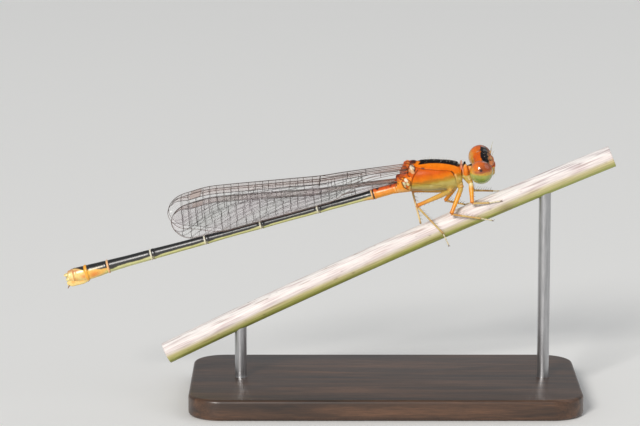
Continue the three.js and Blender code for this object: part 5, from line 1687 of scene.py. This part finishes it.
# ---------------------------------------------------------------- stand
def wood_material():
    m = bpy.data.materials.new("walnut")
    m.use_nodes = True
    nt = m.node_tree
    nt.nodes.clear()
    N, L = nt.nodes, nt.links
    out = N.new("ShaderNodeOutputMaterial")
    b = N.new("ShaderNodeBsdfPrincipled")
    L.new(b.outputs[0], out.inputs[0])
    b.inputs["Coat Weight"].default_value = 0.35
    b.inputs["Coat Roughness"].default_value = 0.25
    co = N.new("ShaderNodeTexCoord")
    mp = N.new("ShaderNodeMapping")
    mp.inputs["Scale"].default_value = (60, 900, 900)
    L.new(co.outputs["Object"], mp.inputs["Vector"])
    big = N.new("ShaderNodeTexNoise")
    big.inputs["Scale"].default_value = 1.0
    big.inputs["Detail"].default_value = 5
    big.inputs["Distortion"].default_value = 1.2
    L.new(mp.outputs[0], big.inputs["Vector"])
    mp2 = N.new("ShaderNodeMapping")
    mp2.inputs["Scale"].default_value = (700, 14000, 14000)
    L.new(co.outputs["Object"], mp2.inputs["Vector"])
    pores = N.new("ShaderNodeTexNoise")
    pores.inputs["Scale"].default_value = 1.0
    pores.inputs["Detail"].default_value = 7
    pores.inputs["Roughness"].default_value = 0.7
    L.new(mp2.outputs[0], pores.inputs["Vector"])
    ramp = N.new("ShaderNodeValToRGB")
    ramp.color_ramp.elements[0].position = 0.30
    ramp.color_ramp.elements[0].color = (0.020, 0.010, 0.006, 1)
    ramp.color_ramp.elements[1].position = 0.72
    ramp.color_ramp.elements[1].color = (0.135, 0.062, 0.030, 1)
    e = ramp.color_ramp.elements.new(0.5)
    e.color = (0.060, 0.028, 0.014, 1)
    L.new(big.outputs["Fac"], ramp.inputs[0])
    r2 = N.new("ShaderNodeMapRange")
    r2.inputs["From Min"].default_value = 0.35
    r2.inputs["From Max"].default_value = 0.65
    r2.inputs["To Min"].default_value = 0.6
    r2.inputs["To Max"].default_value = 1.25
    L.new(pores.outputs["Fac"], r2.inputs["Value"])
    hsv = N.new("ShaderNodeHueSaturation")
    L.new(ramp.outputs[0], hsv.inputs["Color"])
    L.new(r2.outputs[0], hsv.inputs["Value"])
    L.new(hsv.outputs[0], b.inputs["Base Color"])
    rr = N.new("ShaderNodeMapRange")
    rr.inputs["To Min"].default_value = 0.55
    rr.inputs["To Max"].default_value = 0.32
    L.new(pores.outputs["Fac"], rr.inputs["Value"])
    L.new(rr.outputs[0], b.inputs["Roughness"])
    bp = N.new("ShaderNodeBump")
    bp.inputs["Distance"].default_value = 0.00001
    bp.inputs["Strength"].default_value = 0.5
    L.new(pores.outputs["Fac"], bp.inputs["Height"])
    L.new(bp.outputs[0], b.inputs["Normal"])
    return m


def steel_material():
    m = bpy.data.materials.new("brushed_steel")
    m.use_nodes = True
    nt = m.node_tree
    nt.nodes.clear()
    N, L = nt.nodes, nt.links
    out = N.new("ShaderNodeOutputMaterial")
    b = N.new("ShaderNodeBsdfPrincipled")
    L.new(b.outputs[0], out.inputs[0])
    b.inputs["Metallic"].default_value = 1.0
    co = N.new("ShaderNodeTexCoord")
    mp = N.new("ShaderNodeMapping")
    mp.inputs["Scale"].default_value = (9000, 9000, 900)
    L.new(co.outputs["Object"], mp.inputs["Vector"])
    n = N.new("ShaderNodeTexNoise")
    n.inputs["Scale"].default_value = 1.0
    n.inputs["Detail"].default_value = 5
    L.new(mp.outputs[0], n.inputs["Vector"])
    ramp = N.new("ShaderNodeValToRGB")
    ramp.color_ramp.elements[0].position = 0.3
    ramp.color_ramp.elements[0].color = (0.40, 0.40, 0.41, 1)
    ramp.color_ramp.elements[1].position = 0.7
    ramp.color_ramp.elements[1].color = (0.56, 0.56, 0.57, 1)
    L.new(n.outputs["Fac"], ramp.inputs[0])
    L.new(ramp.outputs[0], b.inputs["Base Color"])
    rr = N.new("ShaderNodeMapRange")
    rr.inputs["To Min"].default_value = 0.24
    rr.inputs["To Max"].default_value = 0.46
    L.new(n.outputs["Fac"], rr.inputs["Value"])
    L.new(rr.outputs[0], b.inputs["Roughness"])
    bp = N.new("ShaderNodeBump")
    bp.inputs["Distance"].default_value = 0.000002
    bp.inputs["Strength"].default_value = 0.25
    L.new(n.outputs["Fac"], bp.inputs["Height"])
    L.new(bp.outputs[0], b.inputs["Normal"])
    return m


def rounded_plate():
    """The base: a rounded rectangle whose edges are eased over in several small steps."""
    hx, hy, rc = BASE["long"] / 2, BASE["wide"] / 2, BASE["corner"]
    seg = 16
    profile = []  # (inset, height)
    e = 0.24
    for i in range(7):
        a = math.pi / 2 * i / 6
        profile.append((e * (1 - math.sin(a)), e * (1 - math.cos(a))))
    for i in range(7):
        a = math.pi / 2 * i / 6
        profile.append((e * (1 - math.cos(a)), BASE["thick"] - e * (1 - math.sin(a))))
    rings = []
    for inset, h in profile:
        ring = []
        for cx, cy, a0 in ((hx - rc, hy - rc, 0), (-hx + rc, hy - rc, 90), (-hx + rc, -hy + rc, 180), (hx - rc, -hy + rc, 270)):
            for i in range(seg + 1):
                a = math.radians(a0 + 90 * i / seg)
                r = rc - inset
                ring.append((BASE["x"] + cx + r * math.cos(a), cy + r * math.sin(a), h))
        rings.append(ring)
    m = len(rings[0])
    V = np.array([p for ring in rings for p in ring])
    F = grid_faces(len(rings), m, wrap=True)
    n = len(V)
    V = np.vstack([V, [BASE["x"], 0, 0], [BASE["x"], 0, BASE["thick"]]])
    for k in range(m):
        F.append((n, (k + 1) % m, k))
        F.append((n + 1, (len(rings) - 1) * m + k, (len(rings) - 1) * m + (k + 1) % m))
    o = make("stand_base_block", V, outward(V, F), wood_material(), None, smooth=False, replaces=("stand_base",))
    o.data.shade_smooth()
    o.data.set_sharp_from_angle(angle=math.radians(28))
    return o


base_obj = rounded_plate()
STEEL = steel_material()
for x, tag in ((PIN_AT[0], "low"), (PIN_AT[1], "high")):
    t = Stem.nearest(np.array([x, 0, Stem.at((x - STEM_FROM[0]) / (STEM_TO[0] - STEM_FROM[0]))[2]]))
    for _ in range(20):
        t += (x - float(Stem.at(t)[0])) / (STEM_TO[0] - STEM_FROM[0])
    c, d = Stem.at(t), Stem.along(t)
    up = np.cross(d, [0, 1.0, 0])
    up = up if up[2] > 0 else -up
    sides, bodyrows = 40, 24
    a = np.arange(sides) * 2 * math.pi / sides
    rows = []
    foot = BASE["thick"]
    for rr, zz in ((PIN_R + 0.0, foot - 0.06), (PIN_R, foot + 0.02)):
        rows.append((rr, zz))
    # top follows the stem's underside
    px_, py_ = x + PIN_R * np.cos(a), PIN_R * np.sin(a)
    slope = d[2] / d[0]
    lower = c[2] + (px_ - x) * slope - np.sqrt(np.maximum((STEM_R - 0.012) ** 2 - py_ ** 2, 0.01)) / math.cos(math.atan(slope))
    V = []
    for k in range(bodyrows + 1):
        q = k / bodyrows
        z0 = foot - 0.03
        z = z0 + (lower - z0) * q
        groove = 1 - 0.02 * (k in (1, 2)) + 0.05 * (k == 0)
        V.append(np.stack([x + PIN_R * groove * np.cos(a), PIN_R * groove * np.sin(a), z], 1))
    inner = np.stack([x + 0.55 * PIN_R * np.cos(a), 0.55 * PIN_R * np.sin(a),
                      c[2] + 0.55 * (px_ - x) * slope - np.sqrt((STEM_R - 0.012) ** 2 - (0.55 * py_) ** 2) / math.cos(math.atan(slope))], 1)
    V.append(inner)
    F = grid_faces(len(V), sides, wrap=True)
    V = np.vstack(V)
    n = len(V)
    V = np.vstack([V, [x, 0, foot - 0.03], [x, 0, c[2] - (STEM_R - 0.012) / math.cos(math.atan(slope))]])
    for k in range(sides):
        F.append((n, (k + 1) % sides, k))
        F.append((n + 1, n - sides + k, n - sides + (k + 1) % sides))
    o = make("stand_pin_%s_rod" % tag, V, outward(V, F), STEEL, None, replaces=("stand_pin_" + tag,))
    o.data.set_sharp_from_angle(angle=math.radians(40))

# ---------------------------------------------------------------- floor, light and camera
floor_mat = bpy.data.materials.new("floor")
floor_mat.use_nodes = True
fb = floor_mat.node_tree.nodes["Principled BSDF"]
fb.inputs["Base Color"].default_value = (0.92, 0.92, 0.91, 1)
fb.inputs["Roughness"].default_value = 0.7
fm = bpy.data.meshes.new("floor")
R = 4.0
fm.from_pydata([(-R, -R, 0), (R, -R, 0), (R, R, 0), (-R, R, 0)], [], [(0, 1, 2, 3)])
fm.materials.append(floor_mat)
floor = bpy.data.objects.new("floor", fm)
bpy.context.scene.collection.objects.link(floor)
floor.location.z = -0.00001

world = bpy.data.worlds.new("studio")
bpy.context.scene.world = world
world.use_nodes = True
bg = world.node_tree.nodes["Background"]
bg.inputs[0].default_value = (0.80, 0.82, 0.84, 1)
bg.inputs[1].default_value = 0.38


def lamp(name, direction, distance, size, power, colour=(1, 1, 1)):
    light = bpy.data.lights.new(name, "AREA")
    light.shape = "DISK"
    light.size = size
    light.energy = power
    light.color = colour
    o = bpy.data.objects.new(name, light)
    bpy.context.scene.collection.objects.link(o)
    d = unit(direction)
    target = np.array([0.002, 0, 0.011])
    from mathutils import Vector
    o.location = Vector((target + d * distance).tolist())
    o.rotation_euler = Vector((-d).tolist()).to_track_quat("-Z", "Y").to_euler()
    return o


lamp("key", (-0.34, -0.82, 0.46), 2.0, 0.56, 32.0, (1.0, 0.97, 0.93))
lamp("fill", (0.95, -0.30, 0.8), 1.6, 1.3, 3.4, (0.98, 0.99, 1.0))
lamp("rim", (0.5, 0.75, 1.1), 0.9, 0.5, 0.5, (1, 1, 1))
bpy.context.scene.view_settings.view_transform = "Standard"

from mathutils import Vector
E = math.radians(10)
TARGET = Vector((-0.001233, 0, 0.012571))
DIST_CAM = 0.21333
cam = bpy.data.cameras.new("camera")
cam.lens = 180
cam.sensor_width = 36
cam.sensor_fit = "HORIZONTAL"
cam.clip_start = 0.005
cam.clip_end = 20
co = bpy.data.objects.new("camera", cam)
bpy.context.scene.collection.objects.link(co)
ahead = Vector((0, math.cos(E), -math.sin(E)))
co.location = TARGET - ahead * DIST_CAM
co.rotation_euler = ahead.to_track_quat("-Z", "Y").to_euler()
bpy.context.scene.camera = co
